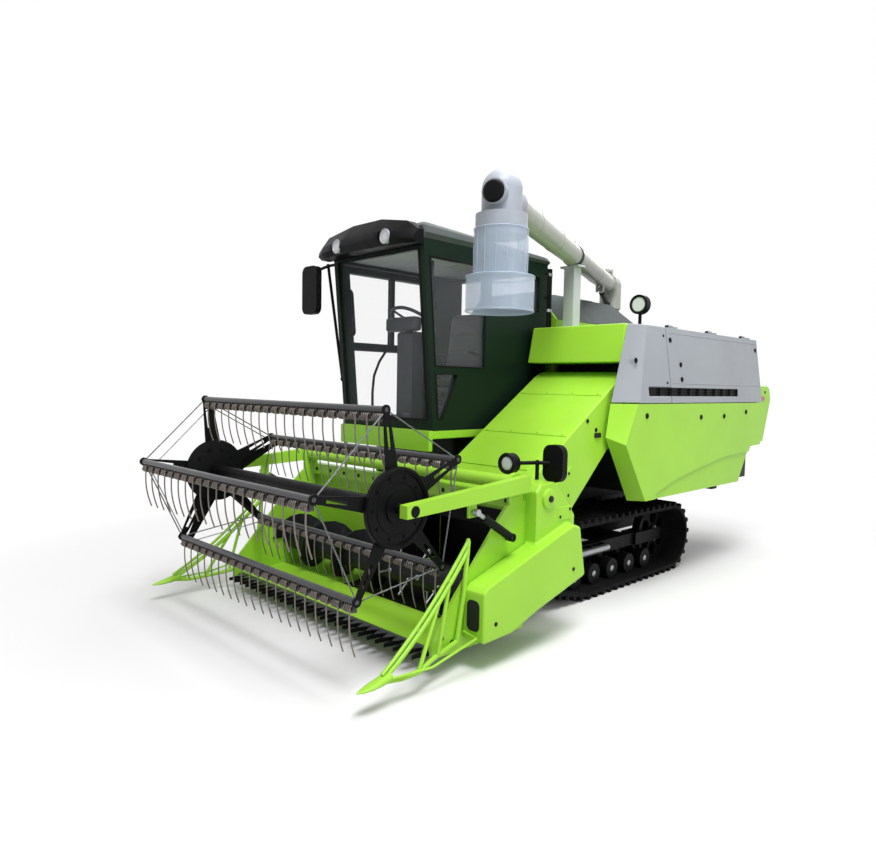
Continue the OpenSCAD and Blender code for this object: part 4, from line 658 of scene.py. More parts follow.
def make_bat(number):
    name = f"bat_{number}"
    axis = Vector(joints[f"{name}_turn"]["pos_m"])
    axis.y = 0
    bm = bmesh.new()
    for k in range(TINES):
        add_spring_tine(bm, BAT_HALF * (2 * (k + 0.5) / TINES - 1), axis)
    piece(f"{name}_tines", bm, "spring_steel", name)
    bm = bmesh.new()
    add_tube(bm, [axis + LEFT * (BAT_HALF * side) for side in (-1, 1)], BAT_R, sides=24)
    below = axis + Vector((0, 0, -BAT_R - COIL_R))
    add_tube(bm, [below + LEFT * (BAT_HALF * side) for side in (-1, 1)], COIL_R * 0.5, sides=10)
    for k in range(TINES + 1):
        y = BAT_HALF * (2 * k / TINES - 1) * 0.995
        centre = axis + Vector((0, y, -COIL_R))
        add_box(bm, centre - Vector((0.012, 0.004, 0.034)), centre + Vector((0.012, 0.004, 0.022)), 0.002)
    low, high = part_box(name)
    add_tube(bm, [axis + LEFT * (low.y + 0.03), axis + LEFT * high.y], PIVOT_R, sides=16)
    crank = joints["reel_control_spin"]["pos_m"]
    centre = joints["reel_spin"]["pos_m"]
    offset = Vector((crank[0] - centre[0], 0, crank[2] - centre[2]))
    add_crank(bm, axis, offset, low.y)
    piece(f"{name}_tube", bm, "bat_paint", name, [name])


def add_crank(bm, axis, offset, end_y, thick=0.009, half=0.017):
    """The flat crank at the bat's right end and its pin, which runs in the control ring."""
    inner = axis + LEFT * (end_y + 0.0255)
    across, _ = ring_frame(offset, LEFT)
    side, back = across * half, LEFT * thick
    ends = [inner - offset.normalized() * half, inner + offset + offset.normalized() * half]
    skin(bm, [[c + side, c - side, c - side - back, c + side - back] for c in ends])
    pin = inner + offset
    add_tube(bm, [pin, Vector((pin.x, end_y, pin.z))], PIVOT_R, sides=16)


# Cab: places that its seals and fittings share
CAB_FRONT, CAB_LEAN, CAB_REAR = 1.555, 0.125, 2.865
CAB_FLOOR, CAB_TOP = 1.22, 2.58
CAB_RIGHT, CAB_LEFT = -1.03, 0.026
CAB_MIDDLE = -0.528
PILLAR = 0.055
PANE_LOW, PANE_HIGH = 1.3, 2.51
SEAL_R = 0.007


def front_at(z):
    """Station of the cab's sloping front wall at a height."""
    return CAB_FRONT - CAB_LEAN * (z - CAB_FLOOR) / (CAB_TOP - CAB_FLOOR)


def on_screen(y, z):
    """A point of the windscreen."""
    return at(front_at(z), y, z)


LEFT_PANES = [
    [(front_at(1.69) + PILLAR, 1.69), (front_at(2.46) + PILLAR, 2.46), (2.095, 2.46), (2.095, 1.69)],
    [(front_at(1.3) + PILLAR, 1.3), (front_at(1.63) + PILLAR, 1.63), (1.8, 1.63), (1.64, 1.3)],
    rectangle(2.155, 2.755, 2.18, 2.46),
]
DOOR_IN = 0.12
DOOR_BAR, DOOR_BAR_HALF, DOOR_END = 2.0336, 0.018, 2.465
DOOR_PANES = [
    [(front_at(1.28) + DOOR_IN, 1.28), (front_at(1.83) + DOOR_IN, 1.83), (DOOR_END, 1.83), (DOOR_END, 1.28)],
    [(front_at(1.89) + DOOR_IN, 1.89), (front_at(2.45) + DOOR_IN, 2.45), (DOOR_BAR - DOOR_BAR_HALF, 2.45),
     (DOOR_BAR - DOOR_BAR_HALF, 1.89)],
    rectangle(DOOR_BAR + DOOR_BAR_HALF, DOOR_END, 1.89, 2.45),
]
DOOR_RIM = 0.0925


def make_seals():
    bm = bmesh.new()
    for pane in LEFT_PANES:
        add_tube(bm, side_points(CAB_LEFT, pane), SEAL_R, 8, True)
    sides = (CAB_RIGHT + PILLAR, CAB_LEFT - PILLAR)
    corners = [(sides[0], PANE_LOW), (sides[0], PANE_HIGH), (sides[1], PANE_HIGH), (sides[1], PANE_LOW)]
    add_tube(bm, [on_screen(y, z) for y, z in corners], SEAL_R * 1.4, 8, True)
    corners = [(sides[0], 1.86), (sides[0], PANE_HIGH), (sides[1], PANE_HIGH), (sides[1], 1.86)]
    add_tube(bm, [at(CAB_REAR, y, z) for y, z in corners], SEAL_R, 8, True)
    piece("cab_seals", bm, "seal_rubber", "chassis")
    bm = bmesh.new()
    for pane in DOOR_PANES:
        add_tube(bm, side_points(CAB_RIGHT, pane), SEAL_R, 8, True)
    piece("door_seals", bm, "seal_rubber", "cab_door")


def make_door_fittings():
    bm = bmesh.new()
    front = front_at(1.78) + DOOR_RIM
    plate = rectangle(front - 0.017, front + 0.017, 1.7, 1.86)
    add_plate(bm, side_points(CAB_RIGHT, plate), -LEFT, 0.005)
    grip = side_points(CAB_RIGHT - 0.004, ((front, 1.715), (front, 1.845)))
    add_grip(bm, *grip, -LEFT * 0.045, 0.009)
    inside = CAB_RIGHT + 0.042
    low, high = [at(front_at(z) + DOOR_RIM, inside, z) for z in (1.95, 2.3)]
    add_grip(bm, low, high, LEFT * 0.05, 0.011)
    bow = [(1.8, 0.0, 1.255), (1.792, 0.03, 1.3), (1.785, 0.035, 1.48), (1.8, 0.035, 1.62),
           (1.855, 0.035, 1.74), (1.93, 0.03, 1.83), (1.96, 0.0, 1.858)]
    add_tube(bm, [at(s, inside + y, z) for s, y, z in bow], 0.011, 10)
    piece("door_grips", bm, "black_paint", "cab_door")
    bm = bmesh.new()
    for z in (1.36, 2.4):
        add_grip(bm, at(2.84, CAB_LEFT, z - 0.1), at(2.84, CAB_LEFT, z + 0.1), LEFT * 0.03, 0.007)
    piece("wall_grips", bm, "black_paint", "chassis")


# Inside the cab
WHEEL_R = 0.185
WHEEL_AXIS = Vector((-0.55, 0, 0.83))


def make_controls():
    bm = bmesh.new()
    hub = at(1.845, CAB_MIDDLE, 2.05)
    add_ring(bm, hub, WHEEL_AXIS, WHEEL_R, 0.014)
    add_disc(bm, hub - WHEEL_AXIS.normalized() * 0.02, WHEEL_AXIS, 0.045, 0.035, 0.008)
    for point in circle(hub, WHEEL_AXIS, WHEEL_R, 3):
        add_tube(bm, [hub, hub.lerp(point, 0.5) - WHEEL_AXIS * 0.006, point], 0.009, 8)
    add_tube(bm, [hub, at(1.815, CAB_MIDDLE, 1.96)], 0.026, 16)
    add_box(bm, at(1.79, CAB_MIDDLE - 0.17, 1.97), at(1.7, CAB_MIDDLE + 0.17, 2.08), 0.02)
    add_box(bm, at(2.62, -0.96, CAB_FLOOR), at(2.06, -0.82, 1.72), 0.03)
    for station, lean in ((2.14, 0.02), (2.24, -0.015), (2.34, 0.01)):
        foot = at(station, -0.89, 1.715)
        add_tube(bm, [foot, foot + Vector((lean, 0, 0.13))], 0.007, 8)
        add_disc(bm, foot + Vector((lean, 0, 0.115)), UP, 0.02, 0.05, 0.014, 16)
    for y in (CAB_MIDDLE - 0.16, CAB_MIDDLE + 0.16):
        add_box(bm, at(1.7, y - 0.04, CAB_FLOOR), at(1.64, y + 0.04, CAB_FLOOR + 0.11), 0.01)
    piece("controls", bm, "gray_plastic", "chassis")
    bm = bmesh.new()
    dial = rectangle(-0.14, 0.14, 1.99, 2.06)
    add_plate(bm, [at(1.7905, CAB_MIDDLE + y, z) for y, z in dial], -FORWARD, 0.003)
    piece("dials", bm, "tinted_glass", "chassis")
    bm = bmesh.new()
    add_box(bm, at(1.6, -0.115, 2.3), at(1.575, -0.035, 2.45), 0.01)
    add_tube(bm, [at(1.588, -0.075, 2.44), at(1.588, -0.04, 2.5), at(1.56, -0.03, 2.52)], 0.007, 8)
    piece("inner_mirror", bm, "black_paint", "chassis")


# Seat: two sewn pads that a short cloth run swells, on a sprung base
SEAT_FRONT, SEAT_REAR = 2.13, 2.57
SEAT_HALF = 0.24
SEAT_Z = 1.53
PAD_VOXEL = 0.006
PAD_FRAMES = 20
PAD_CAP = 0.014


def settled(obj):
    """The object's mesh with its modifiers worked in."""
    graph = bpy.context.evaluated_depsgraph_get()
    mesh = bpy.data.meshes.new_from_object(obj.evaluated_get(graph), depsgraph=graph)
    obj.modifiers.clear()
    obj.data = mesh
    return mesh


def swell(obj, pressure=4.0):
    """Blows up a closed pad with cloth under pressure, and holds each point near where it began."""
    remesh = obj.modifiers.new("remesh", "REMESH")
    remesh.mode = "VOXEL"
    remesh.voxel_size = PAD_VOXEL
    start = [v.co.copy() for v in settled(obj).vertices]
    cloth = obj.modifiers.new("cloth", "CLOTH")
    cloth.settings.use_pressure = True
    cloth.settings.uniform_pressure_force = pressure
    cloth.settings.effector_weights.gravity = 0
    cloth.point_cache.frame_end = PAD_FRAMES
    for step in range(1, PAD_FRAMES + 1):
        bpy.context.scene.frame_set(step)
    mesh = settled(obj)
    bpy.context.scene.frame_set(1)
    for vertex, before in zip(mesh.vertices, start):
        move = vertex.co - before
        if move.length > PAD_CAP:
            vertex.co = before + move.normalized() * PAD_CAP


def pad_outline(half_w, depth, corner, steps=6):
    """A rounded rectangle as pairs across and along."""
    points = []
    for cx, cy, first in ((half_w - corner, depth - corner, 0), (corner - half_w, depth - corner, 90),
                          (corner - half_w, corner, 180), (half_w - corner, corner, 270)):
        for k in range(steps + 1):
            t = math.radians(first + 90 * k / steps)
            points.append((cx + corner * math.cos(t), cy + corner * math.sin(t)))
    return points


def make_pad(name, place, along, up, half_w, depth, thick, replaced=()):
    """A crowned pad on a plane that runs along and across, with a rolled edge and a sewn channel."""
    bm = bmesh.new()
    rings = []
    for height, inset in ((0, 0.03), (0.2, 0.004), (0.55, 0.0), (0.85, 0.014), (0.97, 0.04), (1.0, 0.1)):
        outline = pad_outline(half_w - inset, depth - inset * 2, 0.07)
        rings.append([place + LEFT * a + along * (b + inset) + up * (thick * height) for a, b in outline])
    skin(bm, rings)
    bmesh.ops.recalc_face_normals(bm, faces=bm.faces)
    mesh = bpy.data.meshes.new(name)
    bm.to_mesh(mesh)
    bm.free()
    obj = bpy.data.objects.new(name, mesh)
    bpy.context.scene.collection.objects.link(obj)
    swell(obj)
    for vertex in obj.data.vertices:
        offset = vertex.co - place
        channel = abs(offset.dot(along) / depth * 4 % 1 - 0.5)
        if offset.dot(up) > thick * 0.6 and abs(offset.y) < half_w * 0.72:
            vertex.co -= up * 0.006 * max(0.0, 1 - channel * 12)
    smooth(obj.data, 60)
    obj.data.materials.clear()
    obj.data.materials.append(looks["seat_leather"])
    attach(obj, "chassis")
    if replaced:
        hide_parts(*replaced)


def make_seat():
    rear = Vector((-1, 0, 0))
    lean = Vector((-0.14, 0, 0.99)).normalized()
    facing = Vector((0.99, 0, 0.14)).normalized()
    make_pad("seat_cushion", at(SEAT_FRONT + 0.01, CAB_MIDDLE, SEAT_Z), rear, UP,
             SEAT_HALF - 0.015, 0.4, 0.11, ["seat"])
    make_pad("seat_back", at(SEAT_REAR - 0.075, CAB_MIDDLE, SEAT_Z + 0.09), lean, facing,
             SEAT_HALF - 0.02, 0.56, 0.09)
    bm = bmesh.new()
    add_box(bm, at(SEAT_REAR - 0.06, CAB_MIDDLE - 0.17, CAB_FLOOR),
            at(SEAT_FRONT + 0.04, CAB_MIDDLE + 0.17, CAB_FLOOR + 0.05), 0.008)
    folds = 7
    rings = []
    for k in range(folds * 2 + 1):
        inset = 0.02 if k % 2 else 0.0
        outline = pad_outline(0.16 - inset, 0.34 - inset * 2, 0.04, 4)
        z = CAB_FLOOR + 0.05 + 0.22 * k / (folds * 2)
        rings.append([at(SEAT_FRONT + 0.05 + inset + b, CAB_MIDDLE + a, z) for a, b in outline])
    skin(bm, rings)
    add_box(bm, at(SEAT_REAR - 0.02, CAB_MIDDLE - 0.21, 1.49),
            at(SEAT_FRONT + 0.015, CAB_MIDDLE + 0.21, SEAT_Z), 0.01)
    add_box(bm, at(SEAT_REAR, CAB_MIDDLE - 0.2, 1.52), at(SEAT_REAR - 0.05, CAB_MIDDLE + 0.2, 1.72), 0.015)
    for side in (-1, 1):
        y = CAB_MIDDLE + side * (SEAT_HALF + 0.002)
        arm = ((SEAT_REAR - 0.04, 1.6), (SEAT_REAR - 0.05, 1.8), (SEAT_FRONT + 0.1, 1.83))
        add_tube(bm, side_points(y, arm), 0.016, 10)
    piece("seat_base", bm, "gray_plastic", "chassis")


# Lamps and mirrors
VISOR_LAMPS = [at(1.27, y, 2.5915) for y in (-0.206, -0.7725)]
STALK_LAMP = at(3.2, 0.71, 2.23)
HEAD_LAMP = at(1.34, 0.93, 1.085)


def make_lamp_fittings():
    bm = bmesh.new()
    for lamp in VISOR_LAMPS:
        add_ring(bm, lamp, FORWARD, 0.05, 0.004)
        add_ring(bm, lamp, FORWARD, 0.033, 0.002)
    add_ring(bm, STALK_LAMP + FORWARD * 0.03, FORWARD, 0.056, 0.003)
    piece("lamp_rings", bm, "bare_steel", "chassis")
    bm = bmesh.new()
    profile = [(-0.0305, 0.069), (-0.034, 0.072), (-0.026, 0.078),
               (0.036, 0.078), (0.038, 0.074), (0.0305, 0.058)]
    skin(bm, [circle(STALK_LAMP + FORWARD * x, FORWARD, r, 40) for x, r in profile], True)
    add_disc(bm, STALK_LAMP - FORWARD * 0.03, -FORWARD, 0.07, 0.02, 0.012)
    add_disc(bm, at(3.2, 0.71, 2.0), UP, 0.035, 0.012)
    add_tube(bm, [at(3.2, 0.71, 2.0), at(3.2, 0.71, 2.16)], 0.0135, 12)
    piece("lamp_shell", bm, "black_paint", "chassis")
    bm = bmesh.new()
    add_disc(bm, HEAD_LAMP + FORWARD * 0.025, FORWARD, 0.042, 0.01, 0.006, 40)
    piece("head_lamp_lens", bm, "lamp_lens", "header")
    bm = bmesh.new()
    profile = [(0.0245, 0.043), (0.0245, 0.063), (0.03, 0.066),
               (0.042, 0.062), (0.044, 0.056), (0.034, 0.043)]
    skin(bm, [circle(HEAD_LAMP + FORWARD * x, FORWARD, r, 40) for x, r in profile], True)
    piece("head_lamp_rim", bm, "black_paint", "header")


def make_mirror_glass():
    bm = bmesh.new()
    outline = pad_outline(0.085, 0.345, 0.045)
    add_plate(bm, [at(1.31, -1.122 + a, 2.1175 + b) for a, b in outline], -FORWARD, 0.003)
    piece("mirror_right_glass", bm, "mirror_glass", "chassis")
    bm = bmesh.new()
    outline = pad_outline(0.062, 0.2, 0.045)
    add_plate(bm, [at(1.59, 1.1 + a, 0.985 + b) for a, b in outline], -FORWARD, 0.003)
    piece("header_mirror_glass", bm, "mirror_glass", "header")


# Side panels
PANEL_Y = 1.07
PANEL_LOW, PANEL_RISE, PANEL_LEAN = 1.448, 0.582, 0.08
VENT_LOW, VENT_HIGH = 1.5, 1.565
VENT_BACK = 1.0405


def add_louvres(bm, s0, s1, slats=3, upright=0.16):
    """Slats and uprights in the pocket of the vent strip."""
    low, high = VENT_LOW + 0.001, VENT_HIGH - 0.001
    add_box(bm, at(s1, VENT_BACK, low), at(s0, VENT_BACK + 0.002, high))
    pitch = (VENT_HIGH - VENT_LOW) / slats
    for k in range(slats):
        z = VENT_LOW + pitch * (k + 0.5)
        slat = rectangle(s0, s1, z + 0.004, z + 0.008)
        add_plate(bm, side_points(VENT_BACK, slat), LEFT, 0.014, 0.001)
    count = max(2, round((s1 - s0) / upright))
    for k in range(count + 1):
        s = s0 + 0.004 + (s1 - s0 - 0.008) * k / count
        add_box(bm, at(s + 0.003, VENT_BACK, low), at(s - 0.003, VENT_BACK + 0.016, high))


def panel_y_at(z):
    """Outer face of the gray panels, which lean in towards their top."""
    return PANEL_Y - PANEL_LEAN * (z - PANEL_LOW) / PANEL_RISE


def add_latch(bm, station, z, y):
    """A quarter-turn latch: a round cup with a bar across it."""
    add_disc(bm, at(station, y, z), LEFT, 0.021, 0.006, 0.003)
    add_box(bm, at(station + 0.014, y + 0.004, z - 0.004), at(station - 0.014, y + 0.011, z + 0.004), 0.002)


def make_panel_fittings():
    bm = bmesh.new()
    add_louvres(bm, 2.764, 3.094)
    piece("vent_front", bm, "black_paint", "chassis")
    bm = bmesh.new()
    add_louvres(bm, 3.106, 4.333)
    piece("vent_door", bm, "black_paint", "side_door")
    bm = bmesh.new()
    for station, z in ((2.72, 1.355), (3.6, 1.33), (4.04, 1.33), (4.5, 1.36)):
        add_latch(bm, station, z, PANEL_Y)
    add_latch(bm, 2.64, 1.757, panel_y_at(1.757) - 0.02)
    for z in (1.6, 1.96):
        add_bolt(bm, at(3.05, panel_y_at(z), z), LEFT, 0.008, 0.005)
    piece("panel_latches", bm, "black_paint", "chassis")
    bm = bmesh.new()
    for station, z in ((3.15, 1.933), (3.29, 1.746), (3.29, 1.63), (4.81, 1.93)):
        add_latch(bm, station, z, panel_y_at(z) - 0.001)
    piece("door_latches", bm, "black_paint", "side_door")
    bm = bmesh.new()
    for z in (1.6, 1.99):
        add_tube(bm, [at(s, panel_y_at(z) - 0.001, z) for s in (3.13, 4.84)], 0.004, 8)
    piece("door_beads", bm, "gray_panel", "side_door")


# Feeder house, which lifts with the header
FEEDER_SIDE = 0.905
FEEDER_BEND = (2.62005, 1.63779)
FEEDER_PIVOT = (2.747, 1.446)
FEEDER_SLOPE = math.radians(33.5)
FEEDER_TOP = Vector((math.sin(FEEDER_SLOPE), 0, math.cos(FEEDER_SLOPE)))
FEEDER_RUN = Vector((math.cos(FEEDER_SLOPE), 0, -math.sin(FEEDER_SLOPE)))


def on_feeder(station, y):
    """A point of the feeder house's sloping top."""
    return at(station, y, FEEDER_BEND[1] - (FEEDER_BEND[0] - station) * math.tan(FEEDER_SLOPE))


def make_feeder_fittings():
    bm = bmesh.new()
    for station in (1.6, 2.0, 2.42):
        ends = [on_feeder(station, y) for y in (0.135, 0.88)]
        foot = [ends[0] - FEEDER_RUN * 0.018, ends[1] - FEEDER_RUN * 0.018,
                ends[1] + FEEDER_RUN * 0.018, ends[0] + FEEDER_RUN * 0.018]
        add_plate(bm, foot, FEEDER_TOP, 0.004, 0.002)
        for y in (0.17, 0.39, 0.625, 0.845):
            add_bolt(bm, on_feeder(station, y) + FEEDER_TOP * 0.004, FEEDER_TOP, 0.008, 0.006)
    cover = [(1.66, 0.2), (1.66, 0.815), (1.94, 0.815), (1.94, 0.2)]
    add_plate(bm, [on_feeder(s, y) for s, y in cover], FEEDER_TOP, 0.006, 0.004)
    hatch = [(1.62, 0.6), (1.62, 0.75), (2.02, 1.02), (2.02, 0.8)]
    add_plate(bm, side_points(FEEDER_SIDE, hatch), LEFT, 0.005, 0.004)
    piece("feeder_plates", bm, "lime_paint", "header")
    bm = bmesh.new()
    hatch_bolts = ((1.65, 0.63), (1.65, 0.74), (1.99, 0.82), (1.99, 0.97))
    add_bolts(bm, side_points(FEEDER_SIDE + 0.004, hatch_bolts), LEFT, 0.008, 0.006)
    side_bolts = ((2.31, 1.256), (2.2, 1.32), (2.52, 1.5))
    add_bolts(bm, side_points(FEEDER_SIDE, side_bolts), LEFT, 0.011, 0.008)
    add_box(bm, at(2.36, FEEDER_SIDE, 1.2), at(2.29, FEEDER_SIDE + 0.014, 1.235), 0.004)
    foot, face = [at(FEEDER_PIVOT[0], FEEDER_SIDE + out, FEEDER_PIVOT[1]) for out in (0.0, 0.012)]
    add_disc(bm, foot, LEFT, 0.1, 0.012, 0.004)
    add_bolts(bm, circle(face, LEFT, 0.08, 8), LEFT, 0.008, 0.006)
    piece("feeder_bolts", bm, "charcoal_paint", "header")


# Header
DRIVE_SIDE = 1.222
HOUSE_SIDE = 1.15
AUGER_AXIS = (1.075, 0.345)
SIDE_PLATE = 1.065
# Knife blades on each side of the middle one
BLADES = 13
BLADE_PITCH, BLADE_Z = 0.076, 0.1225


def make_header_fittings():
    bm = bmesh.new()
    add_disc(bm, at(1.44, HOUSE_SIDE, 0.885), LEFT, 0.062, 0.018, 0.01)
    add_plate(bm, side_points(HOUSE_SIDE, rectangle(1.54, 1.68, 0.74, 0.82)), LEFT, 0.005, 0.003)
    piece("drive_plates", bm, "lime_paint", "header")
    bm = bmesh.new()
    add_bolts(bm, side_points(DRIVE_SIDE, ((0.9, 0.26), (1.62, 0.44))), LEFT, 0.009, 0.006)
    slot = pad_outline(0.045, 0.17, 0.03, 4)
    add_plate(bm, [at(0.8, 1.145 + a, 0.225 + b) for a, b in slot], FORWARD, 0.004)
    add_bolts(bm, side_points(HOUSE_SIDE + 0.005, ((1.56, 0.76), (1.66, 0.8))), LEFT, 0.007, 0.005)
    add_disc(bm, at(1.44, HOUSE_SIDE + 0.018, 0.885), LEFT, 0.02, 0.01)
    front = [(0.64, 0.2), (0.72, 0.16)]
    rear = [(1.0, 0.62), (1.12, 0.75), (1.26, 0.8), (1.29, 0.2), (1.29, 0.45), (1.29, 0.7)]
    add_bolts(bm, side_points(-SIDE_PLATE, front + rear), -LEFT, 0.011, 0.008)
    add_bolts(bm, side_points(SIDE_PLATE, front), LEFT, 0.011, 0.008)
    add_bolts(bm, [at(1.25, -0.98 + 1.96 * k / 11, 0.87) for k in range(12)], FORWARD, 0.01, 0.007)
    piece("header_bolts", bm, "charcoal_paint", "header")
    bm = bmesh.new()
    for k in range(-BLADES, BLADES + 1):
        y = k * BLADE_PITCH
        blade = ((0.628, y - 0.036), (0.628, y + 0.036), (0.56, y + 0.005), (0.56, y - 0.005))
        add_plate(bm, [at(s, edge, BLADE_Z) for s, edge in blade], UP, 0.003, 0.0008)
    add_box(bm, at(0.64, -1.03, 0.1222), at(0.622, 1.03, 0.1275), 0.001)
    piece("knife", bm, "dark_steel", "header")


# Black plates in the auger's trough and the feeder house's mouth: painted shade, not parts of the machine
SHADE_PLATE_R, SHADE_PLATE_T = 0.2195, 0.0015
SHADE_PLATE_Y0, SHADE_PLATE_Y1 = -0.3, 1.03
SHADE_PLATE_LOW, SHADE_PLATE_HIGH = 0.36, 0.8
MOUTH_Y0, MOUTH_Y1 = 0.155, 0.86
MOUTH_LOW, MOUTH_HIGH = 0.335, 0.69
MOUTH_FRONT, MOUTH_REAR = 1.295, 1.519


def make_trough_shade_plates():
    """Painted shade: black plates behind and under the auger, round the mouth of the feeder house and inside it,
    that stand in for the shade there.
    """
    bm = bmesh.new()

    def around(radius, turn):
        return AUGER_AXIS[0] + radius * math.cos(turn), AUGER_AXIS[1] + radius * math.sin(turn)

    turns = [math.radians(-112 + 4 * k) for k in range(22)]
    line = [around(SHADE_PLATE_R, a) for a in turns] + [around(SHADE_PLATE_R - SHADE_PLATE_T, a) for a in reversed(turns)]
    skin(bm, [[at(s, y, z) for s, z in line] for y in (SHADE_PLATE_Y0, SHADE_PLATE_Y1)])
    wall = AUGER_AXIS[0] + SHADE_PLATE_R
    plates = [(SHADE_PLATE_Y0, MOUTH_Y0, SHADE_PLATE_LOW), (MOUTH_Y0, MOUTH_Y1, MOUTH_HIGH),
              (MOUTH_Y1, SHADE_PLATE_Y1, SHADE_PLATE_LOW)]
    for y0, y1, z0 in plates:
        add_box(bm, at(wall, y0, z0), at(wall - SHADE_PLATE_T, y1, SHADE_PLATE_HIGH))
    inner = [(MOUTH_Y0, MOUTH_LOW), (MOUTH_Y1, MOUTH_LOW), (MOUTH_Y1, MOUTH_HIGH), (MOUTH_Y0, MOUTH_HIGH)]
    for (y0, z0), (y1, z1) in zip(inner, inner[1:] + inner[:1]):
        inward = Vector((0, z0 - z1, y1 - y0)).normalized() * SHADE_PLATE_T
        foot = [at(MOUTH_FRONT, y0, z0), at(MOUTH_FRONT, y1, z1),
                at(MOUTH_REAR, y1, z1), at(MOUTH_REAR, y0, z0)]
        skin(bm, [foot, [p + inward for p in foot]])
    add_box(bm, at(MOUTH_REAR, MOUTH_Y0, MOUTH_LOW), at(MOUTH_REAR - SHADE_PLATE_T, MOUTH_Y1, MOUTH_HIGH))
    piece("trough_shade_plates", bm, "black_paint", "header")


def make_auger_fingers(rows=5, around=4):
    bm = bmesh.new()
    axis = at(AUGER_AXIS[0], 0, AUGER_AXIS[1])
    for k in range(rows):
        y = 0.24 + 0.53 * k / (rows - 1)
        for m in range(around):
            t = 2 * math.pi * (m / around + k * 0.13)
            d = Vector((math.cos(t), 0, math.sin(t)))
            foot = axis + LEFT * y + d * 0.09
            add_disc(bm, foot, d, 0.018, 0.012, 0.004, 16)
            add_tube(bm, [foot, foot + d * 0.09, foot + d * 0.094], [0.0075, 0.0075, 0.004], 8)
    piece("auger_fingers", bm, "bare_steel", "header_auger")


# Crop dividers: a flat shoe, bowed rods and braces
DIVIDER_TIP_Y, DIVIDER_Y = 1.158, 1.083


def curve(first, last, sag, count=9):
    """Points of a bowed line that hangs below the straight one."""
    first, last = Vector(first), Vector(last)
    shares = [k / (count - 1) for k in range(count)]
    return [first.lerp(last, k) + UP * (-4 * sag * k * (1 - k)) for k in shares]


def make_dividers():
    bm = bmesh.new()
    for side in (-1, 1):
        tip, wall = DIVIDER_TIP_Y * side, DIVIDER_Y * side
        middle = (tip + wall) / 2
        rings = []
        for s, z, w, h in ((0.0, 0.122, 0.004, 0.003), (0.03, 0.124, 0.02, 0.008), (0.08, 0.13, 0.032, 0.015),
                           (0.15, 0.142, 0.033, 0.022), (0.2, 0.15, 0.024, 0.022)):
            angles = [2 * math.pi * k / 16 for k in range(16)]
            rings.append([at(s, tip + w * math.cos(a), z + h * math.sin(a)) for a in angles])
        skin(bm, rings)
        top, peak, foot = at(0.815, wall, 0.66), at(0.815, wall, 0.708), at(0.74, wall, 0.165)
        skid = at(0.39, tip, 0.118)
        outer = curve(at(0.17, tip, 0.15), top, 0.045)
        inner = curve(at(0.15, tip, 0.168), peak, 0.04)
        add_tube(bm, outer, 0.014, 12)
        add_tube(bm, inner, 0.01, 10)
        runner = [at(0.14, tip, 0.138), at(0.27, tip, 0.117), skid, at(0.52, middle, 0.135), foot]
        add_tube(bm, runner, 0.014, 12)
        add_tube(bm, [foot, at(0.79, wall, 0.42), peak, peak + UP * 0.012], [0.014, 0.014, 0.014, 0.008], 12)
        add_tube(bm, [skid, outer[5]], 0.011, 10)
        add_tube(bm, [at(0.56, middle, 0.14), outer[6]], 0.011, 10)
        for k in (3, 6):
            add_tube(bm, [outer[k], inner[k]], 0.009, 8)
        bow = ((0.19, 0.012, 0.14), (0.45, 0.036, 0.135), (0.78, 0.03, 0.2))
        bow = [at(s, tip + out * side, z) for s, out, z in bow]
        add_tube(bm, bow + [at(0.79, wall, 0.21)], 0.007, 8)
    piece("divider_frames", bm, "lime_paint", "header", ["dividers"])


# Reel: thin wires that join the arms' ends, a rim on the near disc and a plate at the far hub
REEL = (0.376, 0.924)
DISC_FACE = 1.007
FAR_PLATE = -0.968
WIRE_R = 0.0042
WIRE_IN = 0.03


def make_reel_fittings():
    centre = at(REEL[0], 0, REEL[1])
    eyes = [Vector(joints[f"bat_{k}_turn"]["pos_m"]) for k in range(1, 6)]
    crank = Vector(joints["reel_control_spin"]["pos_m"]) - Vector(joints["reel_spin"]["pos_m"])
    shift = Vector((crank.x, 0, crank.z))
    for name, body, lines in (("reel_wires", "reel", ((0.975, Vector()), (-0.975, Vector()))),
                              ("control_wires", "reel_control", ((-1.005, shift),))):
        bm = bmesh.new()
        for y, move in lines:
            for a, b in zip(eyes, eyes[1:] + eyes[:1]):
                a, b = [Vector((p.x, y, p.z)) + move for p in (a, b)]
                inset = (b - a).normalized() * WIRE_IN
                add_tube(bm, [a + inset, b - inset], WIRE_R, 8)
        piece(name, bm, "bare_steel", body)
    bm = bmesh.new()
    near = Vector((centre.x, DISC_FACE, centre.z))
    add_ring(bm, near, LEFT, 0.2, 0.007, 64)
    add_ring(bm, near - LEFT * 0.009, LEFT, 0.135, 0.004, 48)
    add_bolts(bm, circle(near - LEFT * 0.009, LEFT, 0.16, 10), LEFT, 0.009, 0.007)
    far = Vector((centre.x, FAR_PLATE, centre.z))
    add_disc(bm, far, LEFT, 0.215, 0.012, 0.004, 64)
    add_bolts(bm, circle(far + LEFT * 0.012, LEFT, 0.15, 10), LEFT, 0.01, 0.008)
    piece("reel_plates", bm, "black_paint", "reel")


# Undercarriage
TRACK_Y = 0.622
WHEELS = [(2.1, 0.33, 0.075, 8), (3.64, 0.298, 0.075, 8)]
ROLLERS = [2.345 + (3.36 - 2.345) * k / 4 for k in range(5)]


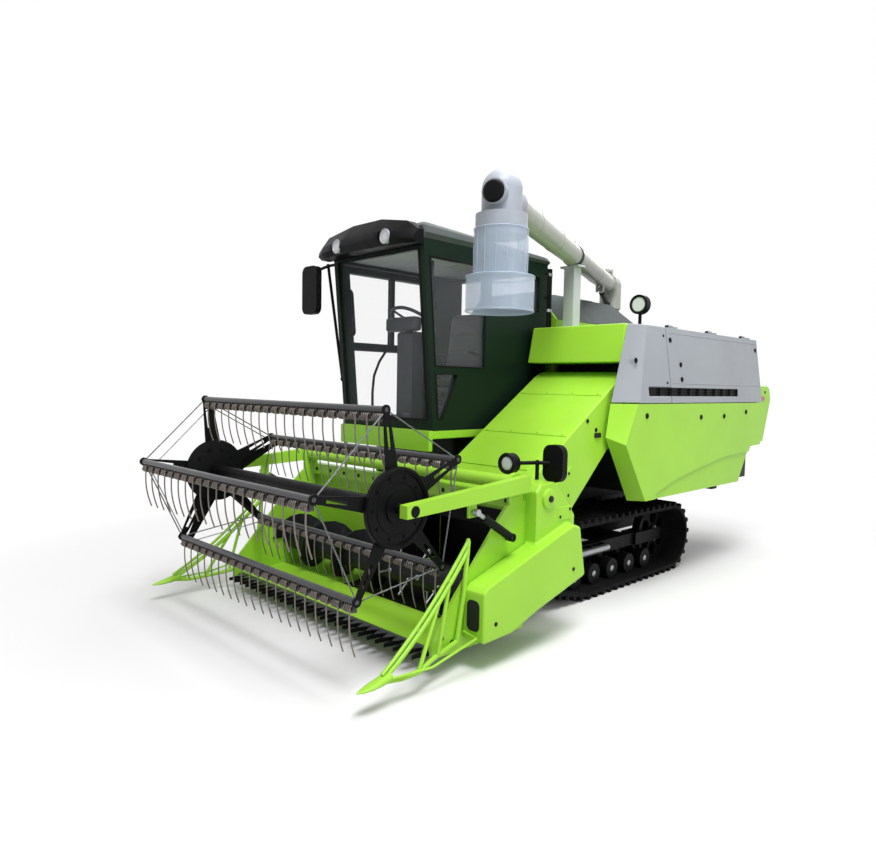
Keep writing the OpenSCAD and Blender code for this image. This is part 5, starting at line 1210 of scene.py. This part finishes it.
def make_hubs():
    caps = bmesh.new()
    bolts = bmesh.new()
    for side in (-1, 1):
        out = LEFT * side
        for station, z, radius, count in WHEELS:
            face = at(station, (TRACK_Y + 0.035) * side, z)
            add_disc(caps, face, out, radius, 0.02, 0.008)
            add_disc(caps, face + out * 0.019, out, 0.036, 0.022, 0.012)
            add_bolts(bolts, circle(face + out * 0.02, out, radius * 0.74, count), out, 0.008, 0.007)
        for station in ROLLERS:
            face = at(station, (TRACK_Y + 0.102) * side, 0.136)
            add_disc(caps, face, out, 0.045, 0.01, 0.004)
            add_disc(bolts, face + out * 0.009, out, 0.026, 0.016, 0.008, 24)
        ends = [at(s, (TRACK_Y + 0.079) * side, 0.3) for s in (2.42, 2.84)]
        add_tube(bolts, ends, 0.03, 24)
        for s in (2.46, 2.62, 2.8):
            low, high = sorted(((TRACK_Y + 0.045) * side, (TRACK_Y + 0.085) * side))
            add_box(caps, at(s + 0.015, low, 0.262), at(s - 0.015, high, 0.338), 0.004)
    piece("hub_caps", caps, "black_paint", "chassis")
    piece("hub_bolts", bolts, "bare_steel", "chassis")


# Unloading auger, along its boom
RISER_STATION, REST_STATION = 4.65, 2.94
RISER = at(RISER_STATION, -0.48, 0)
BOOM_TURN = math.radians(22.4)
BOOM = Vector((math.cos(BOOM_TURN), math.sin(BOOM_TURN), 0))
BOOM_SIDE = Vector((-math.sin(BOOM_TURN), math.cos(BOOM_TURN), 0))
BOOM_Z = 2.64
BOOM_LEN = 3.75
BOOM_R = 0.085
SPOUT_R = 0.118
SPOUT_LIP = 2.535
SLEEVE_LOW, SLEEVE_STEP, SLEEVE_HIGH = 1.98, 2.19, 2.46
SLEEVE_R, COLLAR_R = 0.158, 0.2
CREASE_Z = 2.33


def on_boom(along, z=BOOM_Z):
    return RISER + BOOM * along + UP * z


def make_boom_fittings():
    bm = bmesh.new()
    nose = on_boom(BOOM_LEN + SPOUT_R + 0.034)
    add_tube(bm, [nose - BOOM * 0.018, nose + BOOM * 0.004, nose + BOOM * 0.016, nose + BOOM * 0.02],
             [0.064, 0.064, 0.054, 0.024], 40)
    rest = (RISER_STATION - REST_STATION) / math.cos(BOOM_TURN)
    add_tube(bm, [on_boom(rest - 0.03), on_boom(rest + 0.03)], BOOM_R + 0.005, 48)
    lug = Vector((0.012, 0.012, 0.015))
    seat = on_boom(rest) + UP * (BOOM_R + 0.015)
    add_box(bm, seat - lug, seat + lug, 0.003)
    add_ring(bm, on_boom(BOOM_LEN, SPOUT_LIP), UP, SPOUT_R + 0.002, 0.008)
    piece("boom_bands", bm, "black_paint", "auger_boom")
    bm = bmesh.new()
    neck = BOOM_LEN - SPOUT_R - 0.06
    add_bolts(bm, circle(on_boom(neck), BOOM, 0.094, 10), -BOOM, 0.006, 0.006)
    add_bolts(bm, circle(on_boom(0.195), BOOM, 0.094, 10), BOOM, 0.006, 0.006)
    piece("boom_bolts", bm, "bare_steel", "auger_boom")
    bm = bmesh.new()
    for along in (0.9, 1.6, 2.5, 3.1):
        add_tube(bm, [on_boom(along - 0.012), on_boom(along + 0.012)], BOOM_R + 0.0025, 48)
    piece("boom_seams", bm, "olive_paint", "auger_boom")
    bm = bmesh.new()
    centre = on_boom(BOOM_LEN, 0)
    for k, t in enumerate([math.radians(8 + 24 * k) for k in range(15)]):
        d = BOOM * math.cos(t) + BOOM_SIDE * math.sin(t)
        across = d.cross(UP)
        sway = 0.006 * math.sin(k * 2.3)
        wall = centre + d * SLEEVE_R
        crease = [wall + UP * (SLEEVE_HIGH - 0.01), wall + across * sway + UP * CREASE_Z,
                  wall + UP * (SLEEVE_STEP + 0.004)]
        add_tube(bm, crease, [0.001, 0.0035, 0.002], 6)
    hems = ((SLEEVE_LOW + 0.008, COLLAR_R), (SLEEVE_STEP - 0.006, COLLAR_R), (SLEEVE_HIGH - 0.006, SLEEVE_R))
    for z, r in hems:
        add_ring(bm, centre + UP * z, UP, r - 0.001, 0.005, 64)
    piece("sleeve_creases", bm, "milky_plastic", "auger_boom")


# Grain tank, engine side and rear
TANK_RIGHT = -1.03
TANK_REAR = 4.43
ROOF_TOP = 2.38
LADDER_OUT = TANK_REAR + 0.09
LADDER_RAILS = (-0.94, -0.66)
STACK = 2.9125
# Sides of the rear hood and the way that each faces, and the station and height of a tail lamp
HOOD_SIDES = ((1.02, LEFT), (0.06, -LEFT))
TAIL_LAMP = (5.0, 1.46)


def make_tank_fittings():
    bm = bmesh.new()
    lid = [at(s, y, ROOF_TOP) for s, y in ((3.35, -0.26), (3.35, -0.72), (4.0, -0.72), (4.0, -0.26))]
    add_plate(bm, lid, UP, 0.022, 0.01)
    piece("tank_lid", bm, "roof_gray", "chassis")
    bm = bmesh.new()
    add_grip(bm, at(3.58, -0.3, ROOF_TOP + 0.02), at(3.76, -0.3, ROOF_TOP + 0.02), UP * 0.035, 0.007)
    for s in (3.5, 3.85):
        add_tube(bm, [at(s + end, -0.725, ROOF_TOP + 0.012) for end in (-0.04, 0.04)], 0.012, 12)
    piece("lid_handle", bm, "black_paint", "chassis")
    bm = bmesh.new()
    for z in (1.5, 1.8):
        rib = rectangle(3.02, 4.38, z - 0.03, z + 0.03)
        add_plate(bm, side_points(TANK_RIGHT, rib), -LEFT, 0.012, 0.008)
    for s in (3.3, 3.7, 4.1):
        post = rectangle(s - 0.02, s + 0.02, 1.87, 2.08)
        add_plate(bm, side_points(TANK_RIGHT, post), -LEFT, 0.01, 0.006)
    door = rectangle(-0.2, 0.0, 1.2, 1.5)
    add_plate(bm, [at(TANK_REAR, y, z) for y, z in door], -FORWARD, 0.006, 0.004)
    piece("tank_ribs", bm, "lime_paint", "chassis")
    bm = bmesh.new()
    for s in (3.1, 3.5, 3.9, 4.3):
        add_bolts(bm, side_points(TANK_RIGHT - 0.012, ((s, 1.5), (s, 1.8))), -LEFT, 0.009, 0.006)
    for y, z in ((-0.18, 1.22), (-0.18, 1.48), (-0.02, 1.22), (-0.02, 1.48)):
        add_bolt(bm, at(TANK_REAR + 0.006, y, z), -FORWARD, 0.008, 0.006)
    piece("tank_bolts", bm, "charcoal_paint", "chassis")
    bm = bmesh.new()
    for y in LADDER_RAILS:
        for z in (1.36, 2.06):
            add_tube(bm, [at(s, y, z) for s in (TANK_REAR, LADDER_OUT)], 0.012, 10)
        add_tube(bm, side_points(y, ((LADDER_OUT, 1.2), (LADDER_OUT, 2.1))), 0.014, 12)
    for k in range(4):
        add_tube(bm, [at(LADDER_OUT, y, 1.28 + 0.24 * k) for y in LADDER_RAILS], 0.012, 10)
    piece("ladder", bm, "charcoal_paint", "chassis")


def make_engine_side():
    bm = bmesh.new()
    for s in (1.95, 2.83):
        add_bolts(bm, [at(s, CAB_RIGHT, z) for z in (0.7, 0.92, 1.13)], -LEFT, 0.009, 0.006)
    add_grip(bm, at(2.3, CAB_RIGHT, 1.135), at(2.46, CAB_RIGHT, 1.135), -LEFT * 0.035, 0.007)
    piece("screen_bolts", bm, "bare_steel", "chassis")
    bm = bmesh.new()
    for k in (1, 2):
        z = CAB_FLOOR - 0.06 - k * 0.24
        for i in range(12):
            for j in range(4):
                stud = at(1.59 + 0.026 * i, CAB_RIGHT + 0.03 + 0.032 * j, z)
                add_disc(bm, stud, UP, 0.007, 0.004, 0.002, 10)
    piece("step_studs", bm, "bare_steel", "chassis")
    bm = bmesh.new()
    for z in (1.9, 2.2, 2.5):
        add_tube(bm, side_points(0, ((STACK, z - 0.012), (STACK, z + 0.012))), 0.035, 32)
    piece("stack_bands", bm, "bare_steel", "chassis")


def make_rear_fittings():
    bm = bmesh.new()
    for y, out in HOOD_SIDES:
        outline = pad_outline(0.05, 0.04, 0.012, 3)
        add_plate(bm, [at(TAIL_LAMP[0] + a, y, TAIL_LAMP[1] + b) for a, b in outline], out, 0.008, 0.005)
    piece("tail_lamps", bm, "lamp_red", "chassis")
    bm = bmesh.new()
    for y, out in HOOD_SIDES:
        add_bolts(bm, side_points(y, ((4.9, 1.14), (4.9, 1.54), (5.06, 1.54))), out, 0.009, 0.007)
    piece("hood_bolts", bm, "charcoal_paint", "chassis")


# Painted shade: black sheets that close the middle of the undercarriage, bolted to the inner sides of the rails,
# in place of the shadow under the machine
SHADE_SHEET_Y, SHADE_SHEET_T = 0.279, 0.004
SHADE_SHEET_LOW, SHADE_SHEET_HIGH = 0.26, 0.715
SHADE_SHEET_FRONT, SHADE_SHEET_REAR = 2.42, 4.42
SHADE_SHEET_LIP = 0.05


def make_shade_sheets():
    bm = bmesh.new()
    for side in (-1, 1):
        outer, inner, lip = [side * (SHADE_SHEET_Y - t) for t in (0.0, SHADE_SHEET_T, SHADE_SHEET_LIP)]
        fold = SHADE_SHEET_LOW + SHADE_SHEET_T
        profile = [(outer, SHADE_SHEET_HIGH), (inner, SHADE_SHEET_HIGH), (inner, fold), (lip, fold),
                   (lip, SHADE_SHEET_LOW), (outer, SHADE_SHEET_LOW)]
        skin(bm, [[at(s, y, z) for y, z in profile] for s in (SHADE_SHEET_FRONT, SHADE_SHEET_REAR)])
        for k in range(7):
            add_bolt(bm, at(SHADE_SHEET_FRONT + 0.12 + 0.29 * k, side * SHADE_SHEET_Y, 0.5), LEFT * side)
    # black sheets that paint the shadow between the tracks
    piece("rail_shade_sheets", bm, "black_paint", "chassis")


# Pale lining under the cab's roof
LINING_LOW, LINING_HIGH = 2.535, 2.56


def make_lining():
    bm = bmesh.new()
    add_box(bm, at(CAB_REAR - PILLAR, CAB_RIGHT + PILLAR, LINING_LOW),
            at(front_at(LINING_LOW) + PILLAR, CAB_LEFT - PILLAR, LINING_HIGH), 0.008)
    for k in range(1, 4):
        s = CAB_FRONT + 0.31 * k
        ends = (CAB_RIGHT + PILLAR + 0.04, CAB_LEFT - PILLAR - 0.04)
        add_tube(bm, [at(s, y, LINING_LOW) for y in ends], 0.006, 8)
    piece("cab_lining", bm, "lining", "chassis")


FITTINGS = [
    make_seals, make_door_fittings, make_controls, make_seat, make_lamp_fittings, make_mirror_glass,
    make_panel_fittings, make_feeder_fittings, make_header_fittings, make_trough_shade_plates, make_dividers,
    make_reel_fittings, make_auger_fingers, make_hubs, make_boom_fittings, make_tank_fittings,
    make_engine_side, make_rear_fittings, make_shade_sheets, make_lining,
]

make_camera()
make_studio()
dress_solids()
for number in range(1, 6):
    make_bat(number)
for make in FITTINGS:
    make()


def corners(box):
    return [list(corner) for corner in box]
